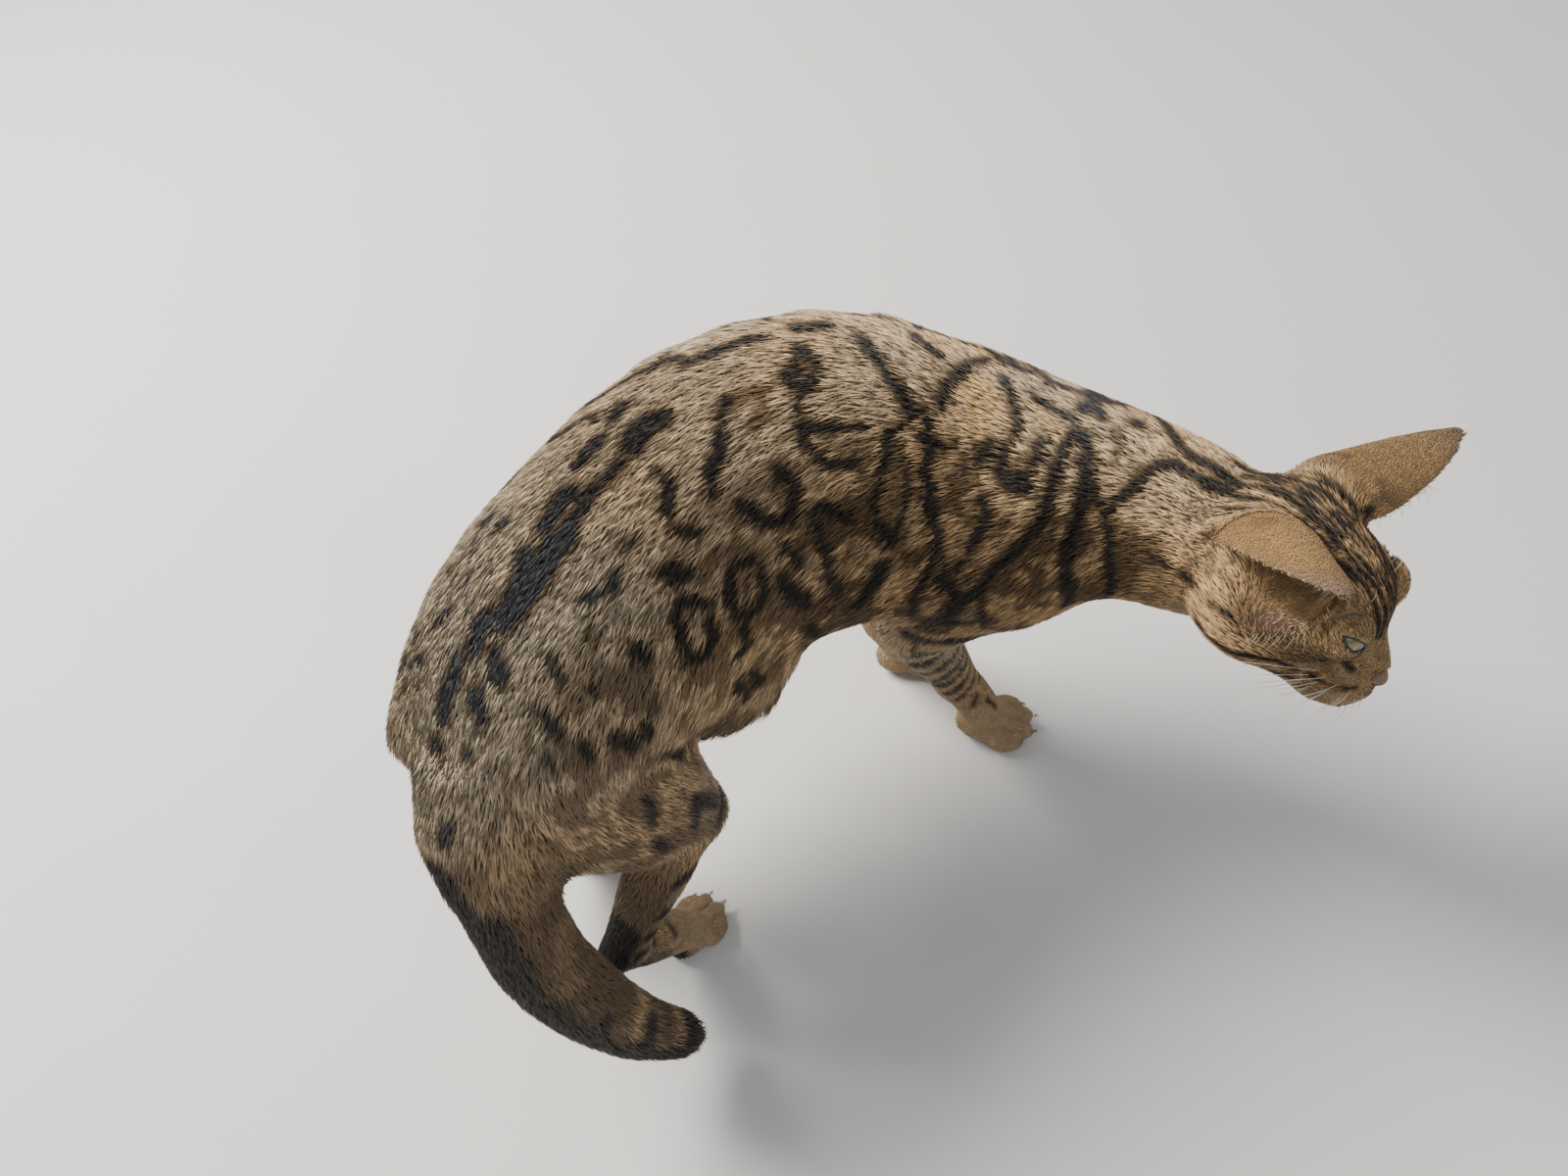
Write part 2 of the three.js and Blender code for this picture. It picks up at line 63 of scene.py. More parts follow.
# Centre X, Y, Z and mean radius, from the tail root to the skull.
SPINE = [
    (-172, -76, 198, 32), (-158, -54, 202, 52), (-136, -20, 206, 64), (-102, 18, 208, 70),
    (-58, 48, 209, 76), (-8, 61, 207, 75), (36, 58, 200, 69), (74, 48, 196, 60),
    (104, 36, 195, 49), (126, 24, 194, 43), (144, 11, 193, 39), (160, -3, 192, 35),
]
TAIL = [
    (-168, -66, 210, 30), (-175, -85, 193, 27), (-171, -102, 162, 22.5), (-167, -115, 128, 21),
    (-155, -123, 95, 19.5), (-139, -127, 62, 16.5), (-122, -126, 38, 12.5), (-113, -126, 27, 8),
]
LEGS = {
    "fore_right": {
        "left": (0.2, 0.97, 0),
        "line": [
            (74, 20, 192, 32), (46, 20, 166, 30), (22, 25, 136, 21), (28, 31, 108, 16),
            (40, 38, 74, 12.5), (48, 41, 48, 12), (57, 39, 30, 12), (72, 36, 12, 12), (90, 32, 9, 10),
        ],
        "toes": ((72, 36, 11), (0.98, -0.2, 0), 1.0),
    },
    "fore_left": {
        "left": (0.2, 0.97, 0),
        "line": [
            (78, 76, 188, 32), (48, 86, 164, 30), (18, 88, 138, 21), (15, 88, 108, 16),
            (14, 89, 74, 12.5), (14, 90, 48, 12), (20, 91, 30, 12), (34, 93, 12, 12), (52, 95, 9, 10),
        ],
        "toes": ((34, 93, 11), (0.98, 0.1, 0), 1.0),
    },
    "hind_right": {
        "left": (-0.62, 0.78, 0),
        "line": [
            (-144, -68, 196, 36), (-133, -65, 170, 40), (-113, -58, 142, 34), (-104, -54, 122, 22),
            (-115, -69, 103, 18), (-130, -82, 82, 13.5), (-142, -93, 67, 11.5), (-132, -83, 47, 11),
            (-121, -70, 28, 12), (-112, -59, 11, 11), (-101, -46, 8, 9),
        ],
        "toes": ((-112, -59, 9), (0.68, 0.73, 0), 0.87),
    },
    "hind_left": {
        "left": (-0.62, 0.78, 0),
        "line": [
            (-182, -16, 196, 36), (-177, -12, 170, 40), (-160, 2, 142, 34), (-151, 9, 122, 22),
            (-164, -6, 106, 18), (-180, -22, 88, 13.5), (-192, -33, 76, 11.5), (-183, -23, 56, 11),
            (-172, -10, 31, 12), (-162, 1, 11, 11), (-149, 13, 8, 9),
        ],
        "toes": ((-162, 1, 9), (0.74, 0.67, 0), 0.87),
    },
}
HEAD_CENTRE = (174, -20, 193)
HEAD_FORWARD = (0.594, -0.755, -0.279)
HEAD_UP = (0.412, -0.01, 0.911)
EYE_DIRECTION = (0.77, 0.56, 0.31)
EARS = {
    1: {"base": (-7.5, 25, 21.5), "axis": (0.27, 0.88, 0.43), "opening": (0.55, 0.25, -0.75)},
    -1: {"base": (-12, -27.5, 18.5), "axis": (0.38, -0.73, 0.57), "opening": (0.38, -0.47, -0.75)},
}
EAR_REACH = 33  # from an ear's line to its outermost edge
NOSE_CENTRE = (57.5, 0, -8)
MOUTH_LINE = -22.8

# Camera, in metres.
CAMERA_PLACE = (-0.06811, -0.32311, 0.630)
CAMERA_PITCH = 52.0
CAMERA_ROLL = -8.3
CAMERA_LENS = 28.35

# ---- Markings ------------------------------------------------------------------------------------
# A mark is its kind, width in mm, strength, and a path on a body line: per cent along, degrees around.
# On the spine 0 degrees is the back and positive is the cat's left; on a leg 0 degrees is its front.
SPINE_MARKS = [
    ("dark", 4.4, 1.0, [(6.5, -2), (5.5, -6), (5, -9)]),
    ("dark", 2.6, 0.8, [(4, -9), (4, -12)]),
    ("dark", 4.8, 1.0, [(10, -4), (9, -8), (8, -10)]),
    ("dark", 8.2, 1.0, [(12.5, -3), (14, -5), (16, -7), (19, -6), (21, -7)]),
    ("dark", 5.3, 1.0, [(22, -6), (25, -5), (27.5, -5), (30, -5)]),
    ("dark", 8.1, 1.0, [(32, -4), (34, -2), (36, -4)]),
    ("dark", 5.2, 1.0, [(41.5, 7), (44, 7), (47, 7), (48.5, 7)]),
    ("dark", 6.6, 1.0, [(52, 10), (54, 9)]),
    ("dark", 3.9, 1.0, [(61.3, 30), (65, 32)]),
    ("dark", 4.2, 1.0, [(61.3, 13), (62.5, 8), (64, 7)]),
    ("dark", 4.0, 0.9, [(67.5, 32), (68.5, 32)]),
    ("dark", 5.3, 1.0, [(70, 32), (71.5, 26)]),
    ("dark", 3.9, 1.0, [(72, 22), (76, 26)]),
    ("dark", 3.5, 0.9, [(78, 24), (81.5, 25)]),
    ("dark", 3.1, 0.9, [(84, 45), (85, 44)]),
    ("dark", 4.8, 1.0, [(5, 13), (4, 12)]),
    ("dark", 5.2, 1.0, [(8, 11), (7, 10), (6, 12)]),
    ("dark", 5.6, 1.0, [(10, 5), (11.5, 5), (13, 3)]),
    ("dark", 7.4, 1.0, [(18, 1), (16, -4), (14, -3)]),
    ("dark", 7.6, 0.95, [(21.5, 1), (23.5, 2), (25, 1)]),
    ("dark", 5.4, 1.0, [(27.5, 6), (28.7, 6), (31, 6)]),
    ("dark", 4.7, 1.0, [(33, 8), (35, 10)]),
    ("dark", 2.5, 0.8, [(39, 14), (42, 21), (43, 21)]),
    ("dark", 3.4, 0.9, [(47, 25), (50.7, 28), (54, 29)]),
    ("dark", 2.6, 0.8, [(56.5, 30), (58.5, 24), (60, 20)]),
    ("dark", 3.1, 0.8, [(20.5, 16), (19.5, 19)]),
    ("dark", 2.3, 0.7, [(15, 19), (15, 20)]),
    ("dark", 2.3, 0.6, [(11, 22), (11, 23)]),
    ("dark", 3.3, 0.7, [(11.5, -24), (10, -33)]),
    ("dark", 3.0, 0.8, [(17.5, -24), (18.5, -27)]),
    ("brown", 3.7, 0.7, [(16.5, -30), (14.5, -32), (15, -37)]),
    ("dark", 4.1, 0.8, [(21, -27), (20, -29)]),
    ("dark", 3.3, 0.7, [(11, -43), (11, -47)]),
    ("dark", 5.7, 1.0, [(25, -39), (26.5, -44)]),
    ("dark", 3.8, 0.9, [(26.5, -39), (25, -43)]),
    ("dark", 5.3, 0.9, [(17, -49), (17, -54)]),
    ("brown", 3.0, 0.7, [(17, -43), (17.5, -46)]),
    ("dark", 4.5, 0.9, [(2, 17), (1.5, 13)]),
    ("dark", 2.9, 0.8, [(2.5, -7), (2, -9)]),
    ("dark", 3.7, 0.9, [(7, -35), (6.5, -44)]),
    ("dark", 2.2, 0.7, [(7, -30), (7, -33)]),
    ("dark", 5.6, 0.9, [(7, -55), (6.5, -61)]),
    ("dark", 5.7, 0.9, [(9, -66), (9.5, -76)]),
    ("dark", 3.8, 0.8, [(11.5, -73), (11.5, -78)]),
    ("dark", 5.7, 0.9, [(12, -100), (15, -119)]),
    ("dark", 3.3, 0.7, [(4.5, -45), (4, -52)]),
    ("dark", 3.9, 1.0, [(42, -11), (40, -17), (38.5, -22), (36, -26), (35, -31)]),
    ("dark", 4.7, 1.0, [(37, -38), (38, -43), (39.5, -48), (43, -51)]),
    ("brown", 6.2, 0.75, [(43, -12), (46, -13), (45, -19), (43, -21)]),
    ("dark", 3.1, 0.9, [(32, -15), (32, -20), (30, -25), (29, -31), (31, -36)]),
    ("dark", 3.0, 0.7, [(25, -25), (23.5, -24)]),
    ("dark", 4.0, 0.95, [(51, -1), (50, -9), (48.5, -11), (49.5, -16), (51, -15), (52, -8), (51.7, -3)]),
    ("dark", 3.5, 1.0, [(49, -18), (49, -24), (48, -30), (48.5, -34), (50, -38), (53, -39)]),
    ("brown", 4.7, 0.5, [(51, -30), (53, -35)]),
    ("dark", 4.7, 1.0, [(43.5, -35), (45, -40), (44.5, -45), (42, -49)]),
    ("dark", 4.8, 1.0, [(47.5, -50), (50, -53), (50.7, -57)]),
    ("dark", 3.2, 0.95, [(46, -51), (46.5, -59), (47, -69), (47, -78), (48.5, -87)]),
    ("brown", 4.9, 0.6, [(50.5, -66), (49, -84)]),
    ("dark", 4.0, 0.9, [(40, -59), (42, -67)]),
    ("dark", 7.4, 0.9, [(38, -69), (39, -80), (41, -87)]),
    ("dark", 4.7, 1.0, [
        (35, -56), (32.5, -53), (31, -57), (30, -63), (30, -71), (32.5, -76), (34.5, -70), (35.5, -61)]),
    ("brown", 6.3, 0.7, [(33, -60), (32, -67)]),
    ("dark", 4.6, 0.95, [(24, -50), (27, -59)]),
    ("dark", 4.3, 1.0, [(22, -53), (21, -60), (20.5, -67), (22, -73), (24.5, -71), (25.5, -64)]),
    ("dark", 4.5, 0.9, [(30, -78), (30, -88), (27.5, -90)]),
    ("dark", 5.2, 0.95, [(26.5, -108), (28.7, -125)]),
    ("dark", 4.8, 0.9, [(30, -109), (31.5, -124)]),
    ("dark", 6.2, 0.8, [(42, -102), (48, -135)]),
    ("dark", 3.6, 0.7, [(41, -118), (43, -135)]),
    ("dark", 2.8, 0.6, [(35.5, -130), (34.5, -149), (32, -149)]),
    ("brown", 4.3, 0.6, [(16, -88), (18, -124), (24, -148)]),
    ("dark", 3.4, 0.6, [(14, -67), (14, -71)]),
    ("dark", 4.9, 1.0, [(56.5, 5), (57, -4), (58, -13), (59, -17), (60, -21)]),
    ("dark", 3.6, 1.0, [(57, -31), (57, -37), (56, -44), (55, -52), (55, -60), (57, -68)]),
    ("brown", 8.8, 0.6, [(58, -35), (58, -46), (57, -59)]),
    ("dark", 2.8, 0.75, [(59, -33), (60, -48), (59, -60), (57, -71)]),
    ("dark", 6.7, 1.0, [(52, -98), (54, -88), (56, -79)]),
    ("dark", 3.7, 1.0, [
        (62, -23), (62.5, -31), (62.3, -41), (63, -51), (64.5, -63), (65, -71), (64.5, -81),
        (64, -95), (64, -117)]),
    ("dark", 4.6, 1.0, [(70, 19), (68, 9), (66, -2), (64.5, -10), (64, -16)]),
    ("dark", 2.8, 0.8, [(66, -29), (68, -38)]),
    ("dark", 3.8, 1.0, [(72, 9), (73, 0), (74, -14), (73.5, -24)]),
    ("gold", 14.1, 1.0, [(69, -3), (70, -16)]),
    ("gold", 10.6, 0.8, [(70, -23), (70, -31)]),
    ("gold", 9.2, 0.6, [(77, -4), (79, -12)]),
    ("dark", 3.7, 1.0, [
        (73, -27), (72.5, -37), (74, -42), (76, -42), (76, -35), (77, -26), (77.5, -20)]),
    ("dark", 4.9, 1.0, [(75, -38), (75, -40)]),
    ("brown", 5.7, 0.7, [(74, -34), (76, -30)]),
    ("dark", 3.7, 0.9, [(71, -48), (72, -56), (71, -63), (70, -72), (68.5, -82)]),
    ("dark", 3.8, 0.8, [(76, 4), (78, 1), (80.5, -1)]),
    ("dark", 4.6, 1.0, [
        (81, -8), (80, -24), (79.5, -38), (79, -49), (78, -60), (76, -68), (74, -78), (73, -88),
        (71, -101), (69, -117)]),
    ("dark", 5.5, 1.0, [
        (82, -9), (83, -22), (83, -34), (83, -44), (83, -53), (82.5, -65), (83, -86), (84, -113)]),
    ("dark", 5.0, 0.9, [(82, -25), (84, -37)]),
    ("brown", 4.2, 0.8, [(85, 1), (86, -10), (86, -21)]),
    ("dark", 4.7, 0.9, [(86.5, 14), (87, 16)]),
    ("brown", 7.6, 0.6, [(88.5, -54), (90, -75), (91.5, -103)]),
    ("dark", 3.6, 0.8, [(73, -97), (74, -125), (76.5, -130), (79, -130)]),
    ("brown", 5.2, 0.7, [(76.5, -89), (80, -104)]),
    ("brown", 5.2, 0.6, [(82, -92), (86, -90), (91, -99)]),
    ("dark", 8.8, 0.8, [(67, -88), (70, -99), (69, -119)]),
    ("dark", 3.8, 0.7, [(65, -70), (67, -81)]),
    ("dark", 6.1, 1.0, [(10.5, -128), (14, -138)]),
    ("dark", 4.2, 1.0, [
        (97.5, -4), (95, -7), (92, -6), (90.5, -10), (89, -20), (88, -31), (87, -39), (86, -48),
        (87, -59), (88.5, -81), (89, -111)]),
    ("dark", 3.3, 0.8, [(97, -72), (98.5, -75)]),
    ("dark", 3.8, 0.7, [(93, -65), (95, -69)]),
]
# On the tail 0 degrees is its upper side, from the root to the tip.
TAIL_MARKS = [
    ("dark", 4, 0.9, [(3, 30), (5, 26)]),
    ("dark", 4, 0.8, [(9, -32), (11, -28)]),
    ("dark", 6, 0.9, [(14, -10), (18, -6)]),
    ("dark", 5, 0.8, [(12, 22), (16, 18)]),
    ("dark", 12, 1.0, [(16, -20), (24, -26), (30, -28)]),
    ("dark", 24, 1.0, [(30, -26), (45, -28), (60, -26), (80, -12), (96, 0)]),
    ("brown", 8, 0.7, [(36, -62), (40, -40), (41, 0), (40, 40), (36, 62)]),
    ("brown", 8, 0.75, [(50, -80), (54, -45), (55, 0), (54, 45), (50, 80)]),
    ("dark", 8, 0.7, [(64, -100), (68, -50), (69, 0), (68, 50), (64, 100)]),
    ("dark", 8, 0.85, [(78, -140), (81, -60), (82, 0), (81, 60), (78, 140)]),
    ("dark", 16, 1.0, [(95, -170), (96, -60), (97, 0), (96, 60), (95, 170)]),
]
TAIL_RINGS = (0.74, 0.89)  # where the brown of the tail is broken by a paler ring
# On a leg, the same bars on every leg of a pair: the angles are for the right leg.
FORE_MARKS = [
    ("dark", 5, 0.8, [(14, -70), (20, -95), (23, -120)]),
    ("dark", 5, 0.8, [(22, -40), (27, -80), (30, -120)]),
    ("dark", 4.5, 0.85, [(30, -20), (34, -60), (37, -110)]),
    ("dark", 4, 0.9, [(38, 40), (40, -20), (43, -70), (46, -130)]),
    ("dark", 3.5, 0.95, [(45, 60), (46, 0), (48, -60), (52, -120)]),
    ("dark", 3, 0.95, [(51, 60), (52, 0), (54, -60), (58, -120)]),
    ("dark", 3, 1.0, [(57, 50), (57, 0), (59, -60), (63, -120)]),
    ("dark", 2.6, 0.95, [(62, 40), (62, 0), (64, -50), (68, -110)]),
    ("dark", 2.6, 0.9, [(67, 40), (67, 0), (69, -50), (72, -90)]),
    ("dark", 2.2, 0.8, [(73, 20), (73, -10)]),
    ("dark", 2.2, 0.8, [(75, -40), (77, -60)]),
    ("dark", 2, 0.75, [(80, 30), (85, 25)]),
    ("dark", 2, 0.75, [(80, -25), (85, -20)]),
    ("dark", 5, 0.7, [(40, 120), (44, 160)]),
    ("dark", 5, 0.7, [(52, 110), (56, 160)]),
]
HIND_MARKS = [
    ("dark", 6, 0.7, [(12, -60), (16, -75)]),
    ("dark", 6, 0.75, [(20, -100), (24, -112)]),
    ("dark", 7, 0.7, [(25, -60), (27, -80)]),
    ("dark", 7, 0.75, [(33, -30), (34, -60)]),
    ("dark", 6, 0.8, [(40, -20), (42, -70), (45, -110)]),
    ("dark", 5, 0.85, [(48, 30), (49, -30), (52, -90)]),
    ("dark", 4.5, 0.85, [(54, 40), (55, -30), (58, -90)]),
    ("dark", 4, 0.85, [(60, 40), (61, -30), (63, -80)]),
    ("dark", 3.5, 0.8, [(71, 40), (71, -40)]),
    ("dark", 3, 0.7, [(78, 40), (78, -40)]),
    ("sole", 17, 1.0, [(60, 180), (66, 180), (72, 180), (78, 180), (84, 180), (90, 180)]),
]
# On the head a path runs through directions from the middle of the skull: forward, left and up.
# Both sides are alike.
HEAD_MARKS = [
    ("dark", 3.6, 1.0, [
        (-40, 7, 20), (-30, 6, 32), (-16, 9, 36), (-5, 10, 37), (2, 10, 37), (9, 12, 35)]),
    ("dark", 2.6, 0.95, [
        (-6, 16, 35), (4, 18, 33), (12, 17, 32), (19, 15, 31), (26, 13, 29), (36, 12, 21),
        (42, 10, 12)]),
    ("dark", 1.9, 0.9, [
        (-38, 1, 24), (-23, 1.5, 35), (-11, 1, 39), (2, 1, 38), (10, 2.5, 36), (18, 2.5, 34)]),
    ("dark", 1.9, 0.9, [(-36, 13, 22), (-23, 13.5, 30), (-11, 14.5, 33), (-2, 14.5, 34), (8, 14, 33)]),
    ("dark", 2.1, 0.85, [(-34, 19, 18), (-20, 20, 25), (-8, 21, 27), (2, 22, 27)]),
    ("dark", 1.9, 0.9, [(-24, 4.5, 34), (-12, 5, 37), (0, 5, 37), (8, 6, 35)]),
    ("dark", 2.3, 0.95, [(14, 7, 34), (22, 6, 32), (29, 4.5, 28)]),
    ("dark", 1.7, 0.85, [(-1, 12, 36), (7, 9, 35), (14, 10, 33), (20, 10, 31)]),
    ("dark", 2.3, 0.95, [(21, 11, 31), (29, 8, 28), (37, 6, 21), (44, 5, 11)]),
    ("dark", 1.6, 0.8, [(26, 1.5, 31), (36, 1.5, 21), (46, 1.5, 9)]),
    ("dark", 2.6, 0.9, [
        (-10, 35, -22), (-2, 37, -23), (7, 37, -22), (16, 38, -15), (24, 34, -11), (32, 23, -17)]),
    ("dark", 3.8, 0.7, [(-12, 41, -8), (-3, 42, -5)]),
    ("brown", 5.0, 0.8, [(24, 32, 2), (10, 39, -3), (-4, 42, -4)]),
    ("dark", 3.0, 0.8, [(30, 18, -22), (14, 24, -29), (0, 24, -32)]),
    ("dark", 2.4, 0.95, [(39, 19, 5), (43, 15, -2), (47, 13, -5)]),
    ("dark", 2.2, 0.8, [(37, 27, 0), (35, 30, 0)]),
    ("dark", 2.2, 0.6, [(20, 34, 15), (22, 30, 22), (25, 22, 26)]),
    ("dark", 1.6, 0.75, [(38, 21, -17), (46, 18, -13), (52, 13, -10)]),
    ("pale", 4.0, 0.7, [(40, 22, -5), (50, 14, -9)]),
    ("pale", 4.0, 0.6, [(34, 12, 17), (28, 24, 12)]),
    ("pale", 8.0, 0.8, [(54, 9, -17), (44, 16, -18)]),
    ("pale", 9.0, 0.9, [(52, 4, -30), (38, 10, -34), (20, 8, -38)]),
    ("gold", 6.0, 0.8, [(52, 0, 0), (38, 0, 10)]),
]
BODY_SPREAD = 1.12  # how much wider a mark of the body is laid than its table says
HEAD_SPREAD = 0.92  # the same for the head
MIRROR_FROM = 26  # a mark that stays within so many degrees of the back isn't repeated on the left
MIRROR_SEED = 11
RAY_REACH = 0.15  # metres from a body line to the farthest skin
DRIP = {"dark": 0, "brown": 1, "pale": 2, "gold": 3, "sole": 0}  # the mask that each kind of mark feeds

# ---- Lines of the body ---------------------------------------------------------------------------


def unit(rows):
    """Rows of vectors at length one."""
    rows = np.asarray(rows, float)
    return rows / np.maximum(np.linalg.norm(rows, axis=-1, keepdims=True), 1e-12)


def smooth_step(low, high, value):
    """0 below low, 1 above high, and a smooth rise between them."""
    t = np.clip((value - low) / (high - low), 0, 1)
    return t * t * (3 - 2 * t)


def in_metres(points):
    """Layout millimetres as metres in the frame."""
    return (np.asarray(points, float) + TO_MIDDLE) * MM


STEPS_BETWEEN = 16  # steps of a body line from one station to the next, before it is spaced evenly
CHUNK = 40000  # points measured against a line at once


class BodyLine:
    """A smooth line through stations, with a radius and a frame at each of its samples."""

    def __init__(self, stations, left=None, backwards=False, samples=101):
        rows = np.asarray(stations, float)
        rows[:, :3] = in_metres(rows[:, :3])
        rows[:, 3] *= MM
        ends = np.vstack([2 * rows[0] - rows[1], rows, 2 * rows[-1] - rows[-2]])
        fine = []
        for a, b, c, d in zip(ends, ends[1:], ends[2:], ends[3:]):
            for t in np.arange(STEPS_BETWEEN) / STEPS_BETWEEN:
                even = 2 * b + (c - a) * t
                curved = (2 * a - 5 * b + 4 * c - d) * t**2 + (3 * b - a - 3 * c + d) * t**3
                fine.append(0.5 * (even + curved))
        fine.append(rows[-1])
        fine = np.array(fine)
        run = np.r_[0, np.cumsum(np.linalg.norm(np.diff(fine[:, :3], axis=0), axis=1))]
        self.length = run[-1]
        even = np.linspace(0, self.length, samples)
        self.points = np.stack([np.interp(even, run, fine[:, k]) for k in range(3)], 1)
        self.radius = np.interp(even, run, fine[:, 3])
        self.forward = unit(np.gradient(self.points, axis=0))
        if backwards:
            self.forward = -self.forward
        if left is None:
            side = np.cross((0, 0, 1.0), self.forward)
        else:
            side = np.tile(np.asarray(left, float), (samples, 1))
        side = side - np.sum(side * self.forward, 1)[:, None] * self.forward
        self.side = unit(side)
        self.face = np.cross(self.forward, self.side)

    def nearest(self, points):
        """Each point's nearest sample, how far along that is, its distance and the angle around the line."""
        which = np.empty(len(points), int)
        gap = np.empty(len(points))
        for start in range(0, len(points), CHUNK):
            part = points[start:start + CHUNK]
            square = (part**2).sum(1)[:, None] + (self.points**2).sum(1)[None] - 2 * part @ self.points.T
            best = square.argmin(1)
            which[start:start + CHUNK] = best
            gap[start:start + CHUNK] = np.sqrt(np.maximum(square[np.arange(len(part)), best], 0))
        off = points - self.points[which]
        sideways, faceways = (np.sum(off * axis[which], 1) for axis in (self.side, self.face))
        around = np.degrees(np.arctan2(sideways, faceways))
        return which, which / (len(self.points) - 1), gap, around

    def ray(self, along, around):
        """The start and direction of the ray that leaves the line there."""
        at = along / 100 * (len(self.points) - 1)
        low = min(int(at), len(self.points) - 2)
        mix = at - low
        angle = math.radians(around)
        start = self.points[low] * (1 - mix) + self.points[low + 1] * mix
        way = math.cos(angle) * self.face[low] + math.sin(angle) * self.side[low]
        return start, way


spine = BodyLine(SPINE)
tail = BodyLine(TAIL, left=(-0.5, 0.86, 0), backwards=True)
legs = {}
for leg_name, leg in LEGS.items():
    legs[leg_name] = BodyLine(leg["line"], left=leg["left"], backwards=True)
    legs[leg_name].face = -legs[leg_name].face
HEAD = in_metres(HEAD_CENTRE)
HEAD_AXES = np.empty((3, 3))
HEAD_AXES[0] = unit(HEAD_FORWARD)
HEAD_AXES[1] = unit(np.cross(HEAD_UP, HEAD_AXES[0]))
HEAD_AXES[2] = np.cross(HEAD_AXES[0], HEAD_AXES[1])


def in_head(points):
    """Points in the head's own frame, in millimetres forward, left and up."""
    return (points - HEAD) @ HEAD_AXES.T / MM


def from_head(rows):
    """Places in the head's own frame as metres in the frame."""
    return HEAD + np.asarray(rows, float) * MM @ HEAD_AXES


def ear_measure(local, sign):
    """Height along an ear and distance from its line, then the ways its opening and its line point."""
    axis = unit(EARS[sign]["axis"])
    opening = np.array(EARS[sign]["opening"])
    opening = unit(opening - (opening @ axis) * axis)
    off = local - np.array(EARS[sign]["base"])
    height = off @ axis
    spread = np.linalg.norm(off - height[:, None] * axis, axis=1)
    return height, spread, opening, axis


def wobble(points, size, seed):
    """A smooth random number from about -1 to 1 at each point, with patches of the given size in metres."""
    rows = (points / size + seed * 7.31).tolist()
    return np.array([noise.noise(row) for row in rows]) * 1.9


# ---- Meshes and arrays ---------------------------------------------------------------------------


def read_mesh(mesh):
    """Vertices, triangles and edges of a mesh, as arrays."""
    points = np.empty(len(mesh.vertices) * 3, np.float32)
    mesh.vertices.foreach_get("co", points)
    mesh.calc_loop_triangles()
    triangles = np.empty(len(mesh.loop_triangles) * 3, np.int32)
    mesh.loop_triangles.foreach_get("vertices", triangles)
    edges = np.empty(len(mesh.edges) * 2, np.int32)
    mesh.edges.foreach_get("vertices", edges)
    return points.reshape(-1, 3).astype(float), triangles.reshape(-1, 3), edges.reshape(-1, 2)


def normals_of(points, triangles):
    """Vertex normals of a closed mesh of triangles."""
    corners = points[triangles]
    face = np.cross(corners[:, 1] - corners[:, 0], corners[:, 2] - corners[:, 0])
    total = np.zeros_like(points)
    for k in range(3):
        for axis in range(3):
            total[:, axis] += np.bincount(triangles[:, k], face[:, axis], len(points))
    return unit(total)


def averaged(values, edges, weight, rounds):
    """Values drawn towards their neighbours' mean, a number of times."""
    count = np.bincount(edges.ravel(), minlength=len(values))[:, None]
    for _ in range(rounds):
        total = np.empty_like(values)
        for k in range(values.shape[1]):
            total[:, k] = np.bincount(edges[:, 0], values[edges[:, 1], k], len(values))
            total[:, k] += np.bincount(edges[:, 1], values[edges[:, 0], k], len(values))
        values = values + weight * (total / count - values)
    return values


def triangle_mesh(name, points, triangles, smooth=True):
    """A new mesh from arrays of vertices and triangles."""
    mesh = bpy.data.meshes.new(name)
    mesh.vertices.add(len(points))
    mesh.vertices.foreach_set("co", np.asarray(points, np.float32).ravel())
    mesh.loops.add(len(triangles) * 3)
    mesh.loops.foreach_set("vertex_index", np.asarray(triangles, np.int32).ravel())
    mesh.polygons.add(len(triangles))
    mesh.polygons.foreach_set("loop_start", np.arange(len(triangles), dtype=np.int32) * 3)
    mesh.polygons.foreach_set("use_smooth", np.full(len(triangles), smooth))
    mesh.update(calc_edges=True)
    mesh.validate()
    return mesh


def store(mesh, name, values):
    """Puts four numbers at each vertex of a mesh."""
    layer = mesh.attributes.new(name, "FLOAT_COLOR", "POINT")
    layer.data.foreach_set("color", np.asarray(values, np.float32).ravel())


def stored(mesh, name, width=4):
    """Reads what store() or a vector attribute holds."""
    kind = "color" if width == 4 else "vector"
    values = np.empty(len(mesh.vertices) * width, np.float32)
    mesh.attributes[name].data.foreach_get(kind, values)
    return values.reshape(-1, width).astype(float)


def place(name, mesh, material, slot, nodes=()):
    """Links a finished piece that rides on the body and stands for the given nodes."""
    piece = bpy.data.objects.new(name, mesh)
    bpy.context.scene.collection.objects.link(piece)
    if material is not None:
        mesh.materials.clear()
        mesh.materials.append(material)
    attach(piece, "root")
    if nodes:
        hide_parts(*nodes)
    return piece


# ---- Markings as masks ---------------------------------------------------------------------------


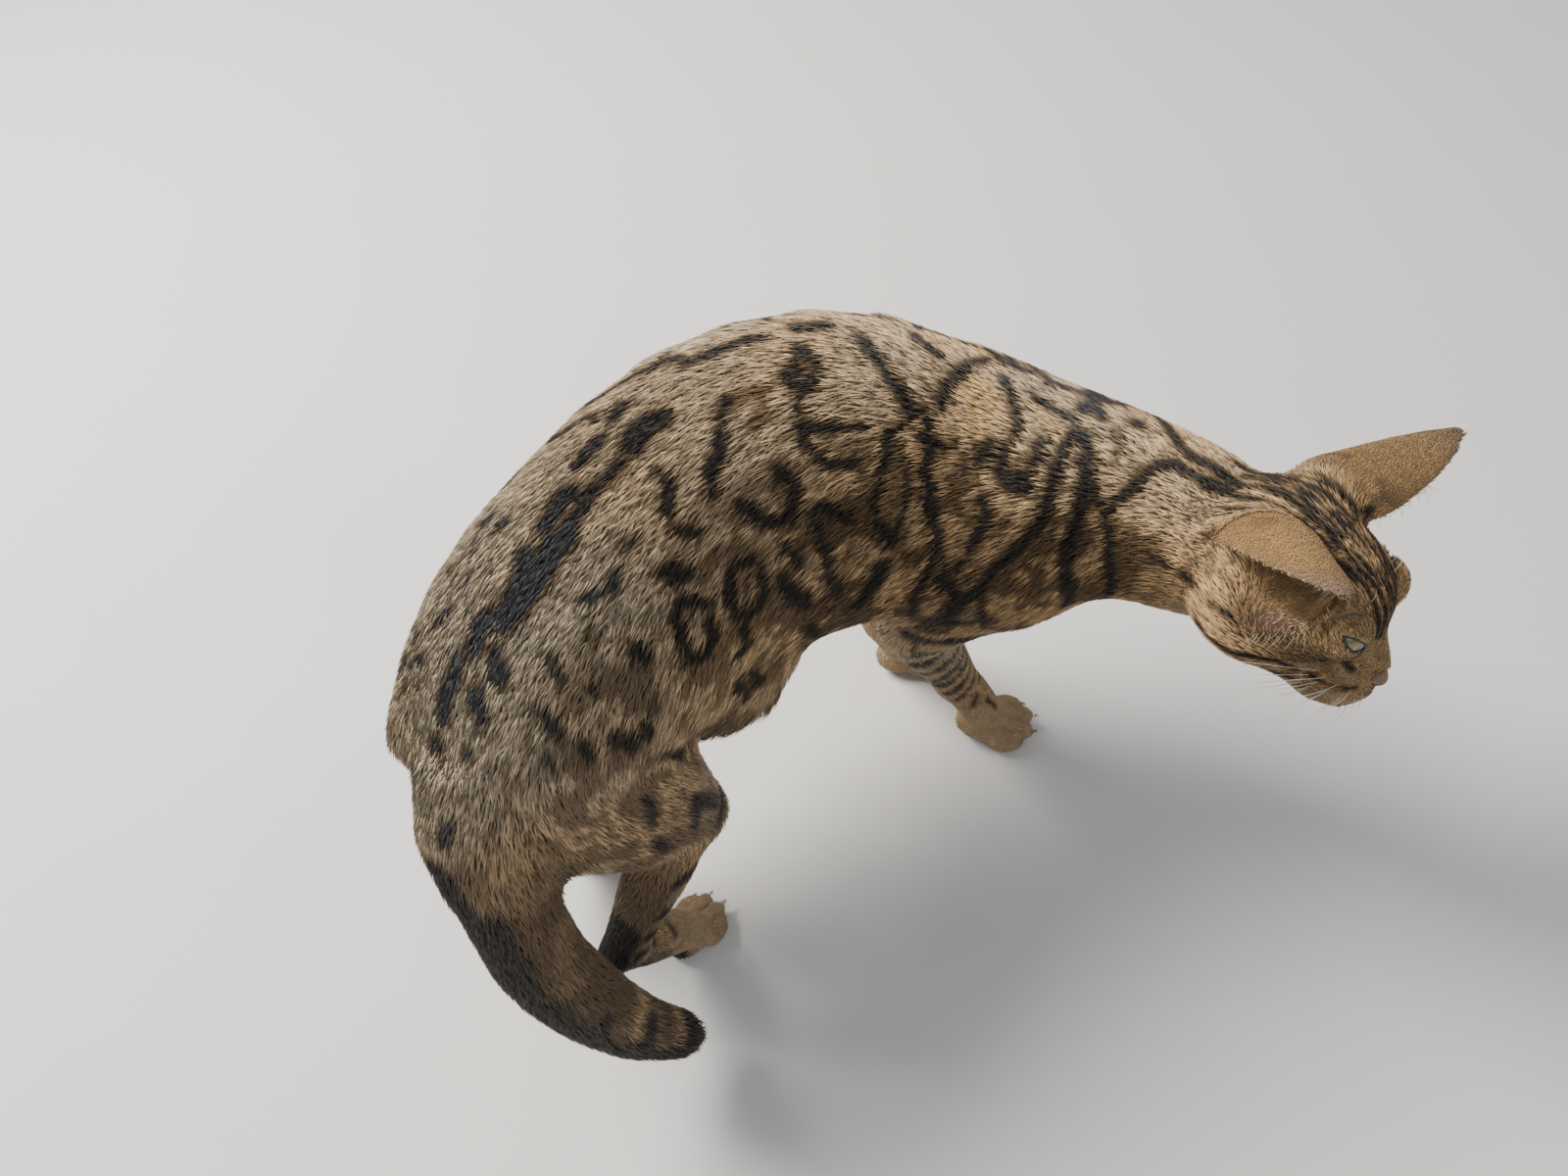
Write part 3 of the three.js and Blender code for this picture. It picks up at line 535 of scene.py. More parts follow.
class Painter:
    """Lays the marks on the skin and reads their masks at any points on it."""

    def __init__(self, surface):
        self.surface = surface
        self.strokes = []
        rng = np.random.default_rng(MIRROR_SEED)
        for mark in SPINE_MARKS:
            self.lay(mark, spine, 1, 0, 1)
            if max(abs(degrees) for _, degrees in mark[3]) > MIRROR_FROM:
                self.lay(mark, spine, -1, rng.normal(0, 1.0), rng.uniform(0.94, 1.06))
        for mark in TAIL_MARKS:
            self.lay(mark, tail, 1, 0, 1)
        for name, line in legs.items():
            marks = FORE_MARKS if name.startswith("fore") else HIND_MARKS
            sign = -1 if name.endswith("left") else 1
            for mark in marks:
                self.lay(mark, line, sign, rng.normal(0, 0.5) if sign < 0 else 0, 1)
        for mark in HEAD_MARKS:
            for sign in (1, -1):
                self.lay_on_head(mark, sign)

    def hit(self, start, way):
        """The outermost place where a ray from inside leaves the skin, or None."""
        place_hit, _, _, _ = self.surface.ray_cast(Vector(start), Vector(way), RAY_REACH)
        return None if place_hit is None else np.array(place_hit)

    def lay(self, mark, line, sign, slide, stretch):
        """Lays one mark that follows a body line."""
        kind, width, strength, path = mark
        dense = self.dense(np.asarray(path, float))
        found = [self.hit(*line.ray(min(max(a + slide, 0), 100), b * sign * stretch)) for a, b in dense]
        self.keep(kind, width * BODY_SPREAD, strength, [p for p in found if p is not None])

    def lay_on_head(self, mark, sign):
        """Lays one mark that runs through directions from the middle of the skull."""
        kind, width, strength, path = mark
        found = []
        for forward, left, up in self.dense(np.asarray(path, float)):
            way = unit(np.array((forward, left * sign, up)) @ HEAD_AXES)
            found.append(self.hit(HEAD, way))
        self.keep(kind, width * HEAD_SPREAD, strength, [p for p in found if p is not None])

    @staticmethod
    def dense(path):
        """A path with two more points between each two."""
        rows = [path[0]]
        for a, b in zip(path, path[1:]):
            rows += [a + (b - a) * t for t in (1 / 3, 2 / 3, 1)]
        return rows

    def keep(self, kind, width, strength, points):
        """Remembers a stroke of points on the skin."""
        if points:
            self.strokes.append((kind, width * MM / 2, strength, np.array(points)))

    def masks(self, points, normals):
        """Dark, brown, pale and gold at each point, with the dark of the soles and a painted shade low on the
        paws by the floor.
        """
        result = np.zeros((len(points), 4))
        edge = wobble(points, 0.011, 3) * 0.0009 + wobble(points, 0.0045, 4) * 0.0005
        for kind, half, strength, path in self.strokes:
            reach = half + 0.005
            low, high = path.min(0) - reach, path.max(0) + reach
            near = np.flatnonzero(np.all((points > low) & (points < high), axis=1))
            if not len(near):
                continue
            here, up = points[near], normals[near]
            best = np.full(len(near), 1.0)
            ends = path[1:] if len(path) > 1 else path
            for a, b in zip(path, ends):
                run = b - a
                share = np.clip((here - a) @ run / max(run @ run, 1e-12), 0, 1)
                gap = here - a - share[:, None] * run
                depth = np.sum(gap * up, 1)
                flat = np.sqrt(np.maximum(np.sum(gap * gap, 1) - depth**2, 0))
                best = np.minimum(best, np.where(np.abs(depth) < 0.012, flat, 1.0))
            soft = min(0.0014 + half * 0.35, half * 0.9)
            gap = best + edge[near]
            cover = strength * (1 - smooth_step(half - soft, half + soft, gap))
            column = DRIP[kind]
            result[near, column] = np.maximum(result[near, column], cover)
            if kind == "dark":
                halo = 0.85 * strength * (1 - smooth_step(half, half * 1.5 + 0.0022, gap))
                result[near, 1] = np.maximum(result[near, 1], halo)
        # The lowest few millimetres of the paws, away from their tops, are darkened: the pads' own dark and a
        # painted shade where the paws meet the floor.
        pads_and_floor_shade = smooth_step(0.0042, 0.0024, points[:, 2]) * smooth_step(0.5, 0.2, normals[:, 2])
        result[:, 0] = np.maximum(result[:, 0], 0.92 * pads_and_floor_shade)
        return result


def ground_of(points, normals):
    """How grey, pale, bare, golden, plain as on an ear, and brown the coat's ground is at each point; the
    brown holds painted shade on the sides of the face.
    """
    _, along, gap, around = spine.nearest(points)
    turn = np.abs(around)
    local = in_head(points)
    on_head = smooth_step(70, 40, np.linalg.norm(local - (10, 0, -4), axis=1))
    belly = smooth_step(118, 150, turn) * smooth_step(0.04, 0.14, along) * (gap < 0.1) * (1 - on_head)
    chin = on_head * smooth_step(-20, -30, local[:, 2])
    pale = np.maximum(belly * 0.75, chin * 0.55)
    for line in legs.values():
        _, share, distance, angle = line.nearest(points)
        close = smooth_step(0.03, 0.02, distance)
        inner = close * smooth_step(60, 120, np.abs(angle))
        pale = np.maximum(pale, 0.35 * inner * smooth_step(0.2, 0.5, share))
        pale = np.maximum(pale, 0.55 * close * smooth_step(0.74, 0.86, share))
    rump = smooth_step(0.34, 0.1, along) * smooth_step(110, 60, turn) * (1 - on_head)
    back = smooth_step(70, 20, turn) * (1 - on_head)
    grey = np.clip(0.55 * back + 0.45 * rump + 0.25 * wobble(points, 0.05, 8) * (1 - on_head), 0, 1)
    gold = smooth_step(0.3, 0.8, along) * 0.4 + 0.25
    patchy = wobble(points, 0.017, 21) + 0.55 * wobble(points, 0.0075, 22)
    flank = smooth_step(14, 48, turn) * smooth_step(1.02, 0.9, along) * (1 - on_head)
    for line in legs.values():
        _, share, distance, _ = line.nearest(points)
        flank *= 1 - smooth_step(0.03, 0.02, distance) * smooth_step(0.3, 0.55, share)
    brown = flank * (0.8 - 0.2 * smooth_step(0.5, 0.3, along)) * smooth_step(-0.02, 0.34, patchy)
    _, share, distance, _ = tail.nearest(points)
    on_tail = smooth_step(0.034, 0.026, distance) * smooth_step(0.06, 0.3, share)
    grey *= 1 - on_tail
    ring = sum(np.exp(-(((share - at) / 0.02) ** 2)) for at in TAIL_RINGS)
    brown = np.maximum(brown, on_tail * (0.6 + 0.38 * smooth_step(-0.3, 0.4, patchy)))
    brown = brown * (1 - 0.7 * on_tail * ring)
    # The sides of the face, between the ear and the muzzle, are browner: partly the cheeks' own brown, partly
    # painted shade.
    cheek_brown_and_shade = on_head * smooth_step(8, 20, np.abs(local[:, 1])) * smooth_step(16, 2, np.abs(local[:, 2] + 2))
    cheek_brown_and_shade *= smooth_step(-16, 0, local[:, 0]) * smooth_step(50, 40, local[:, 0])
    brown = np.maximum(brown, cheek_brown_and_shade * 0.66)
    brown = np.maximum(brown, on_head * 0.22 * smooth_step(0.0, 0.5, patchy))
    for line in (legs["hind_right"], legs["hind_left"]):
        _, share, distance, angle = line.nearest(points)
        shank = smooth_step(0.03, 0.02, distance) * smooth_step(0.3, 0.5, share)
        shank *= smooth_step(0.8, 0.7, share)
        brown = np.maximum(brown, shank * (0.3 + 0.35 * smooth_step(60, 130, np.abs(angle))))
    bare = np.zeros(len(points))
    ear = np.zeros(len(points))
    for sign in (1, -1):
        height, spread, opening, _ = ear_measure(local, sign)
        on_ear = smooth_step(1, 8, height) * (spread < EAR_REACH)
        facing = (normals @ HEAD_AXES.T) @ opening
        bare = np.maximum(bare, on_ear * smooth_step(0.0, 0.35, facing))
        back = smooth_step(-2, 14, height) * (spread < EAR_REACH) * smooth_step(0.2, -0.1, facing)
        ear = np.maximum(ear, back)
        grey = np.where(back > 0.2, smooth_step(48, 80, height), grey)
        root = 0.5 * smooth_step(30, 8, height) * smooth_step(-0.2, 0.5, patchy)
        brown = brown * (1 - back) + back * (root + 0.22 * smooth_step(0.0, 0.7, patchy))
    return grey, pale, bare, gold, ear, brown


# ---- Skin ----------------------------------------------------------------------------------------


def coat_measure(points):
    """The coat at points: its depth, tuft length and lie, the body part, and how far it is on an ear."""
    weight, lie, length, depth = [], [], [], []
    local = in_head(points)
    which, along, gap, around = spine.nearest(points)
    down = np.zeros((len(points), 3))
    down[:, 2] = -0.45 * np.sin(np.radians(np.abs(around)))
    weight.append(np.exp(-(gap / spine.radius[which] / 0.5) ** 2))
    lie.append(-spine.forward[which] + down)
    length.append(np.interp(along, (0, 0.2, 0.7, 0.85, 1), (11.5, 12, 12, 10.5, 9)))
    depth.append(np.interp(along, (0, 0.7, 1), (2.8, 3.0, 2.2)) + 0.8 * smooth_step(110, 150, np.abs(around)))
    which, along, gap, _ = tail.nearest(points)
    weight.append(np.exp(-(gap / tail.radius[which] / 0.5) ** 2))
    lie.append(-tail.forward[which])
    length.append(np.interp(along, (0, 1), (11, 12)))
    depth.append(np.full(len(points), 2.6))
    for line in legs.values():
        which, along, gap, _ = line.nearest(points)
        weight.append(np.exp(-(gap / line.radius[which] / 0.5) ** 2))
        lie.append(-line.forward[which])
        length.append(np.interp(along, (0, 0.35, 0.6, 0.8, 1), (11, 9.5, 6.5, 4.5, 3.2)))
        depth.append(np.interp(along, (0, 0.35, 0.6, 0.8, 1), (2.6, 2.2, 1.3, 0.8, 0.5)))
    distance = np.linalg.norm((local - (12, 0, -4)) / (1.15, 1, 1), axis=1)
    weight.append(4 * np.exp(-(distance / 40 / 0.62) ** 2))
    lie.append(unit(points - from_head((66, 0, -14))))
    face = smooth_step(58, 2, local[:, 0])
    length.append(2.4 + 5.6 * face)
    depth.append(0.45 + 1.25 * face)
    weight = np.array(weight) + 1e-9
    weight /= weight.sum(0)
    lie = np.einsum("rn,rnk->nk", weight, np.array(lie))
    length = np.einsum("rn,rn->n", weight, np.array(length))
    depth = np.einsum("rn,rn->n", weight, np.array(depth))
    on_ear = np.zeros(len(points))
    for sign in (1, -1):
        height, spread, _, axis = ear_measure(local, sign)
        here = smooth_step(0, 9, height) * (spread < EAR_REACH)
        on_ear = np.maximum(on_ear, here)
        lie = lie * (1 - here[:, None]) + (axis @ HEAD_AXES) * here[:, None]
    length = length * 0.88 * (1 - on_ear) + 2.6 * on_ear
    depth = depth * (1 - on_ear) + 0.4 * on_ear
    return depth * MM, length * MM, unit(lie), weight.argmax(0), on_ear


def eye_frames():
    """Centre, radius, and the outward, across, upward and gaze directions of each eye."""
    found = {}
    for side, sign in (("left", 1), ("right", -1)):
        low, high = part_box(f"eye_{side}")
        centre = (np.array(low) + np.array(high)) / 2
        outward = unit((np.array(EYE_DIRECTION) * (1, sign, 1)) @ HEAD_AXES)
        gaze = unit(outward + 0.35 * HEAD_AXES[0] - 0.12 * HEAD_AXES[2])
        inward = HEAD_AXES[0] * 0.75 - sign * HEAD_AXES[1] * 0.66 - HEAD_AXES[2] * 0.2
        across = unit(inward - (inward @ outward) * outward)
        up = np.cross(outward, across)
        up = up if up @ HEAD_AXES[2] > 0 else -up
        found[side] = (centre, (high[0] - low[0]) / 2, outward, across, up, gaze)
    return found


# Half length of the eye's opening, then how far it opens above and below, in millimetres on the ball.
OPENING = (8.0, 2.0, 3.2)


def lid_edge(across, upper):
    """Height of the lid's edge at a place across the opening, in millimetres."""
    half, above, below = OPENING
    bulge = np.maximum(1 - (across / half) ** 2, 0)
    return above * bulge**0.75 - 0.06 * across if upper else -below * bulge**0.85 - 0.06 * across


def shape_face(points, normals):
    """Moves the skin into lids round the eyes, lips and a philtrum."""
    moved = points.copy()
    for centre, radius, outward, across, up, _ in eye_frames().values():
        off = moved - centre
        reach = np.linalg.norm(off, axis=1)
        ways = off / reach[:, None]
        near = np.flatnonzero((ways @ outward > 0.25) & (reach < radius + 0.008))
        x, y = (np.arcsin(np.clip(ways[near] @ axis, -1, 1)) * radius / MM for axis in (across, up))
        inside = (y < lid_edge(x, True)) & (y > lid_edge(x, False)) & (np.abs(x) < OPENING[0])
        edge = np.minimum(np.abs(y - lid_edge(x, True)), np.abs(y - lid_edge(x, False)))
        lid = radius + (0.9 + 0.6 * smooth_step(0, 2.5, edge)) * MM
        fade = smooth_step(0.25, 0.5, ways[near] @ outward)
        out = np.maximum(reach[near], lid * fade + reach[near] * (1 - fade))
        new = np.where(inside, radius - 1.4 * MM, out)
        moved[near] = centre + ways[near] * new[:, None]
    local = in_head(moved)
    forward, left, height = local.T
    line = MOUTH_LINE + 1.6 * smooth_step(48, 32, forward)
    line += 1.2 * smooth_step(9, 2, np.abs(left)) * (forward > 50)
    lips = np.exp(-((height - line) / 0.9) ** 2) * smooth_step(29, 34, forward) * (height < -18)
    cleft = np.exp(-(left / 0.7) ** 2) * smooth_step(50, 55, forward) * (height < -11) * (height > line)
    moved -= normals * ((1.5 * lips + 0.9 * cleft) * MM)[:, None]
    return moved


def in_paw(points, leg):
    """Points in the frame of one paw, forward, left and up, in millimetres of a full-size paw."""
    centre, forward, size = LEGS[leg]["toes"]
    ahead = unit(np.array(forward, float))
    side = np.cross((0, 0, 1), ahead)
    return (points - in_metres(centre)) @ np.array((ahead, side, (0, 0, 1))).T / MM / size


def shape_paws(points, normals):
    """Draws the clefts between the toes and lifts the knuckles."""
    moved = points.copy()
    for leg in LEGS:
        ahead, side, up = in_paw(points, leg).T
        here = (np.abs(side) < 21) & (ahead > -4) & (ahead < 27) & (up < 16)
        cleft = np.zeros(len(points))
        for at in (0, 9, -9):
            cleft = np.maximum(cleft, np.exp(-((side - at) / 0.9) ** 2) * smooth_step(0, 8, ahead))
        bulge = np.zeros(len(points))
        for at, knuckle in ((5.2, 11), (-5.2, 11), (12.6, 6), (-12.6, 6)):
            bulge = np.maximum(bulge, np.exp(-((side - at) / 3.4) ** 2 - ((ahead - knuckle) / 6) ** 2))
        shift = (0.4 * bulge * (up > -6) - 0.9 * cleft * smooth_step(-11, -7, up)) * here * MM
        moved += normals * shift[:, None]
    return moved


def joined_flesh(growth):
    """The flesh nodes as one mesh, each grown a little so that they run into each other."""
    whole = bmesh.new()
    soft = [name for name in sorted(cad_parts) if not name.startswith(("claw_", "nose"))]
    for name in soft:
        part = bmesh.new()
        part.from_mesh(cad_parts[name].data)
        bmesh.ops.remove_doubles(part, verts=part.verts, dist=1e-6)
        part.normal_update()
        for vertex in part.verts:
            vertex.co += vertex.normal * growth
        grown = bpy.data.meshes.new("grown")
        part.to_mesh(grown)
        part.free()
        whole.from_mesh(grown)
        bpy.data.meshes.remove(grown)
    mesh = bpy.data.meshes.new("flesh")
    whole.to_mesh(mesh)
    whole.free()
    return mesh, [name for name in soft if not name.startswith("eye_")]


def with_modifier(mesh, kind, **settings):
    """The mesh after one modifier."""
    work = bpy.data.objects.new("work", mesh)
    bpy.context.scene.collection.objects.link(work)
    modifier = work.modifiers.new("work", kind)
    for name, value in settings.items():
        setattr(modifier, name, value)
    result = bpy.data.meshes.new_from_object(work.evaluated_get(bpy.context.evaluated_depsgraph_get()))
    bpy.data.objects.remove(work)
    bpy.data.meshes.remove(mesh)
    return result


def finer_face(mesh):
    """Splits the faces of the eyes, nose and mouth, for the folds that are made there."""
    work = bmesh.new()
    work.from_mesh(mesh)
    centres = np.array([edge.verts[0].co[:] for edge in work.edges])
    local = in_head(centres)
    front = (local[:, 0] > 18) & (np.abs(local[:, 1]) < 40) & (np.abs(local[:, 2]) < 42)
    for leg in LEGS:
        ahead, side, _ = in_paw(centres, leg).T
        front |= (ahead > -2) & (ahead < 27) & (np.abs(side) < 22) & (centres[:, 2] < 0.026)
    chosen = [edge for edge, near in zip(work.edges, front) if near]
    bmesh.ops.subdivide_edges(work, edges=chosen, cuts=1, use_grid_fill=True)
    bmesh.ops.triangulate(work, faces=work.faces)
    work.to_mesh(mesh)
    work.free()


GROWTH = 0.0003  # how far the flesh nodes are grown, so that neighbours touch
EVEN_ROUNDS = 70  # rounds of evening out over the whole skin
GIVEN_BACK_ROUNDS = 60  # rounds that spread the depth which that takes away, before it is given back
# Where the rump runs into the tail, on its left side, the skin is evened out further.
TAIL_FLARE = in_metres((-190, -60, 188))
TAIL_FLARE_REACH = 0.034
TAIL_FLARE_ROUNDS = 170
SOLE_HEIGHT = 0.0002  # the lowest that the skin comes to the floor


def make_skin_mesh(settings):
    """One closed skin inside the flesh nodes, with its folds, and the names of the nodes it replaces."""
    mesh, names = joined_flesh(GROWTH)
    mesh = with_modifier(mesh, "REMESH", mode="VOXEL", voxel_size=settings.voxel)
    points, triangles, edges = read_mesh(mesh)
    local = in_head(points)
    headness = smooth_step(62, 44, np.linalg.norm(local - (12, 0, -4), axis=1))
    on_ear = coat_measure(points)[4]
    paw = np.zeros(len(points))
    for line in legs.values():
        _, along, gap, _ = line.nearest(points)
        paw = np.maximum(paw, smooth_step(0.72, 0.86, along) * (gap < 0.03))
    soft = np.clip(1 - 0.75 * headness - 0.88 * paw - 0.9 * on_ear, 0.06, 1)[:, None]
    before = points
    points = averaged(points, edges, 0.6 * soft, EVEN_ROUNDS)
    normals = normals_of(points, triangles)
    lost = np.sum((before - points) * normals, 1)[:, None]
    lost = averaged(lost, edges, 0.7, GIVEN_BACK_ROUNDS)
    points = points + normals * lost
    flare = np.exp(-((np.linalg.norm(points - TAIL_FLARE, axis=1) / TAIL_FLARE_REACH) ** 2))[:, None]
    points = averaged(points, edges, 0.6 * flare, TAIL_FLARE_ROUNDS)
    mesh.vertices.foreach_set("co", points.astype(np.float32).ravel())
    finer_face(mesh)
    points, triangles, edges = read_mesh(mesh)
    normals = normals_of(points, triangles)
    depth = coat_measure(points)[0]
    points = points - normals * (depth + GROWTH)[:, None]
    normals = normals_of(points, triangles)
    points = shape_paws(points, normals)
    points[:, 2] = np.maximum(points[:, 2], SOLE_HEIGHT)
    points = shape_face(points, normals)
    mesh.vertices.foreach_set("co", points.astype(np.float32).ravel())
    mesh.update()
    ratio = settings.skin_triangles / len(triangles)
    mesh = with_modifier(mesh, "DECIMATE", ratio=min(ratio, 1.0))
    return mesh, names


# ---- Coat ----------------------------------------------------------------------------------------


def region_names(points):
    """The coat piece that each point of the skin belongs to."""
    region = coat_measure(points)[3]
    _, along, _, around = spine.nearest(points)
    names = np.full(len(points), "coat_neck", dtype=object)
    side = np.where(around > 0, "_left", "_right").astype(object)
    for name, limit in (("coat_chest", 0.74), ("coat_loin", 0.46), ("coat_rump", 0.2)):
        names = np.where(along < limit, name + side, names)
    for number, name in enumerate(["coat_tail"] + [f"coat_{leg}" for leg in legs] + ["coat_head"], start=1):
        names = np.where(region == number, name, names)
    half = np.where(in_head(points)[:, 1] > 0, "_left", "_right").astype(object)
    return np.where(names == "coat_head", names + half, names)


def unwrapped(points, triangles):
    """Places of the corners of some of the skin's triangles on an unwrap of the skin's own shape."""
    used, index = np.unique(triangles, return_inverse=True)
    mesh = triangle_mesh("unwrap", points[used], index.reshape(-1, 3))
    work = bpy.data.objects.new("unwrap", mesh)
    bpy.context.scene.collection.objects.link(work)
    mesh.uv_layers.new(name="unwrap")
    bpy.context.view_layer.objects.active = work
    work.select_set(True)
    bpy.ops.object.mode_set(mode="EDIT")
    bpy.ops.mesh.select_all(action="SELECT")
    bpy.ops.uv.smart_project(angle_limit=math.radians(66), island_margin=0.004)
    bpy.ops.object.mode_set(mode="OBJECT")
    flat = np.empty(len(mesh.loops) * 2, np.float32)
    mesh.uv_layers["unwrap"].data.foreach_get("uv", flat)
    bpy.data.objects.remove(work)
    bpy.data.meshes.remove(mesh)
    return flat.reshape(-1, 3, 2)


def turned(rows, axes, angles):
    """Rows of vectors turned about rows of axes."""
    cos, sin = np.cos(angles)[:, None], np.sin(angles)[:, None]
    return rows * cos + np.cross(axes, rows) * sin


# Corners of one tuft: a buried root, a three-sided belly and a tip.
TUFT_TRIANGLES = np.array([(0, 2, 1), (0, 3, 2), (0, 1, 3), (4, 1, 2), (4, 2, 3), (4, 3, 1)])
TUFT_CORNERS = 5
TUFT_BELLY = 0.42  # how far along a tuft its belly is
TUFT_TIP = 0.98  # how much of its length a tuft reaches
TUFT_FLOOR = 0.0001  # the lowest that a tuft comes to the floor
# The same five corners on the unwrap, from the tuft's own place there.
PATCH = np.array([(-0.0015, 0.0), (0.0, 0.0013), (0.0004, 0.0), (0.0, -0.0013), (0.0015, 0.0)])


def tuft_mesh(name, roots, normals, lie, length, depth, width, patches, masks, tones, ears):
    """Many tufts as one mesh, with their markings and their patches on the unwrap."""
    count = len(roots)
    side = np.cross(normals, lie)
    belly = roots + lie * (TUFT_BELLY * length)[:, None] + normals * (0.5 * depth)[:, None]
    tip = roots + lie * (TUFT_TIP * length)[:, None] + normals * (0.9 * depth)[:, None]
    ground = roots - normals * (0.45 * depth + 0.0003)[:, None]
    half = (width / 2)[:, None]
    corners = np.stack(
        [ground, belly + side * half, belly + normals * half * 0.8, belly - side * half, tip], axis=1)
    corners[:, :, 2] = np.maximum(corners[:, :, 2], TUFT_FLOOR)
    starts = np.arange(count) * TUFT_CORNERS
    triangles = (TUFT_TRIANGLES[None] + starts[:, None, None]).reshape(-1, 3)
    mesh = triangle_mesh(name, corners.reshape(-1, 3), triangles)
    tone = np.repeat(tones, TUFT_CORNERS, axis=0)
    tone[:, 3] = np.tile((0, TUFT_BELLY, TUFT_BELLY, TUFT_BELLY, 1.0), count)
    store(mesh, "coat_marks", np.repeat(masks, TUFT_CORNERS, axis=0))
    store(mesh, "coat_tone", tone)
    store(mesh, "coat_ear", np.repeat(ears, TUFT_CORNERS, axis=0))
    spots = (patches[:, None] + PATCH[None]).reshape(-1, 2)
    layer = mesh.uv_layers.new(name="OFBake")
    layer.data.foreach_set("uv", spots[triangles.ravel()].astype(np.float32).ravel())
    return mesh


LONG_TUFT = 0.0115  # the length from which a tuft has its full width


def make_coat_pieces(settings, material):
    """Scatters tufts over the skin, one piece for each part of the body."""
    skin = bpy.data.objects["skin"].data
    points, triangles, _ = read_mesh(skin)
    lies = stored(skin, "lie", 3)
    ears = stored(skin, "coat_ear")
    normals = normals_of(points, triangles)
    corners = points[triangles]
    centres = corners.mean(1)
    edge_a, edge_b = corners[:, 1] - corners[:, 0], corners[:, 2] - corners[:, 0]
    area = np.linalg.norm(np.cross(edge_a, edge_b), axis=1) / 2
    length = coat_measure(centres)[1]
    bare = ears[triangles, 0].mean(1)
    local = in_head(centres)
    hidden = np.zeros(len(centres), bool)
    for centre, radius, outward, _, _, _ in eye_frames().values():
        off = centres - centre
        reach = np.linalg.norm(off, axis=1)
        hidden |= (reach < radius + 0.0004) & (off @ outward > 0)
    nose_gap = np.linalg.norm((local - (59, 0, -8)) / (7, 7, 4.6), axis=1)
    hidden |= (nose_gap < 1) | (centres[:, 2] < 0.0012)
    want = area / (length + 0.0012) * (1 - 0.93 * smooth_step(0.3, 0.7, bare)) * ~hidden
    want *= settings.tufts / want.sum()
    rng = np.random.default_rng(settings.seed)
    names = region_names(centres)
    painter = Painter(BVHTree.FromPolygons(points.tolist(), triangles.tolist()))
    for name in sorted(set(names)):
        faces = np.flatnonzero(names == name)
        flat = unwrapped(points, triangles[faces])
        count = np.floor(want[faces] + rng.random(len(faces))).astype(int)
        pick = np.repeat(np.arange(len(faces)), count)
        a, b = rng.random((2, len(pick)))
        over = a + b > 1
        a[over], b[over] = 1 - a[over], 1 - b[over]
        share = np.stack([1 - a - b, a, b], 1)[:, :, None]
        at = triangles[faces[pick]]
        roots = (points[at] * share).sum(1)
        normal = unit((normals[at] * share).sum(1))
        lie = (lies[at] * share).sum(1)
        lie = unit(lie - np.sum(lie * normal, 1)[:, None] * normal)
        inside = (ears[at, 0] * share[:, :, 0]).sum(1) > 0.5
        depth, long = coat_measure(roots)[:2]
        lie = turned(lie, normal, rng.normal(0, 0.16, len(pick)))
        long = long * rng.uniform(0.75, 1.2, len(pick)) * (1 + 0.6 * inside)
        depth = depth * rng.uniform(0.55, 1.15, len(pick)) + 0.0006 * inside
        width = settings.tuft_width * (0.35 + 0.65 * np.minimum(long / LONG_TUFT, 1))
        width = width * rng.uniform(0.75, 1.2, len(pick))
        middle = roots + lie * (0.5 * long)[:, None]
        masks = painter.masks(middle, normal)
        grey, pale, _, gold, ear, brown = ground_of(middle, normal)
        masks[:, 1] = np.maximum(masks[:, 1], brown)
        masks[:, 2] = np.maximum(masks[:, 2], pale)
        masks[inside, 2] = 1
        clumps = np.clip(0.5 + 0.5 * wobble(middle, 0.0034, 31), 0, 1)
        nothing = np.zeros(len(pick))
        tones = np.stack([grey, gold, 0.5 * rng.random(len(pick)) + 0.5 * clumps, nothing], 1)
        on_ear = np.stack([nothing, ear * ~inside, nothing, nothing], 1)
        patches = (flat[pick] * share).sum(1)
        mesh = tuft_mesh(name, roots, normal, lie, long, depth, width, patches, masks, tones, on_ear)
        place(name, mesh, material, "coat")


# ---- Materials -----------------------------------------------------------------------------------


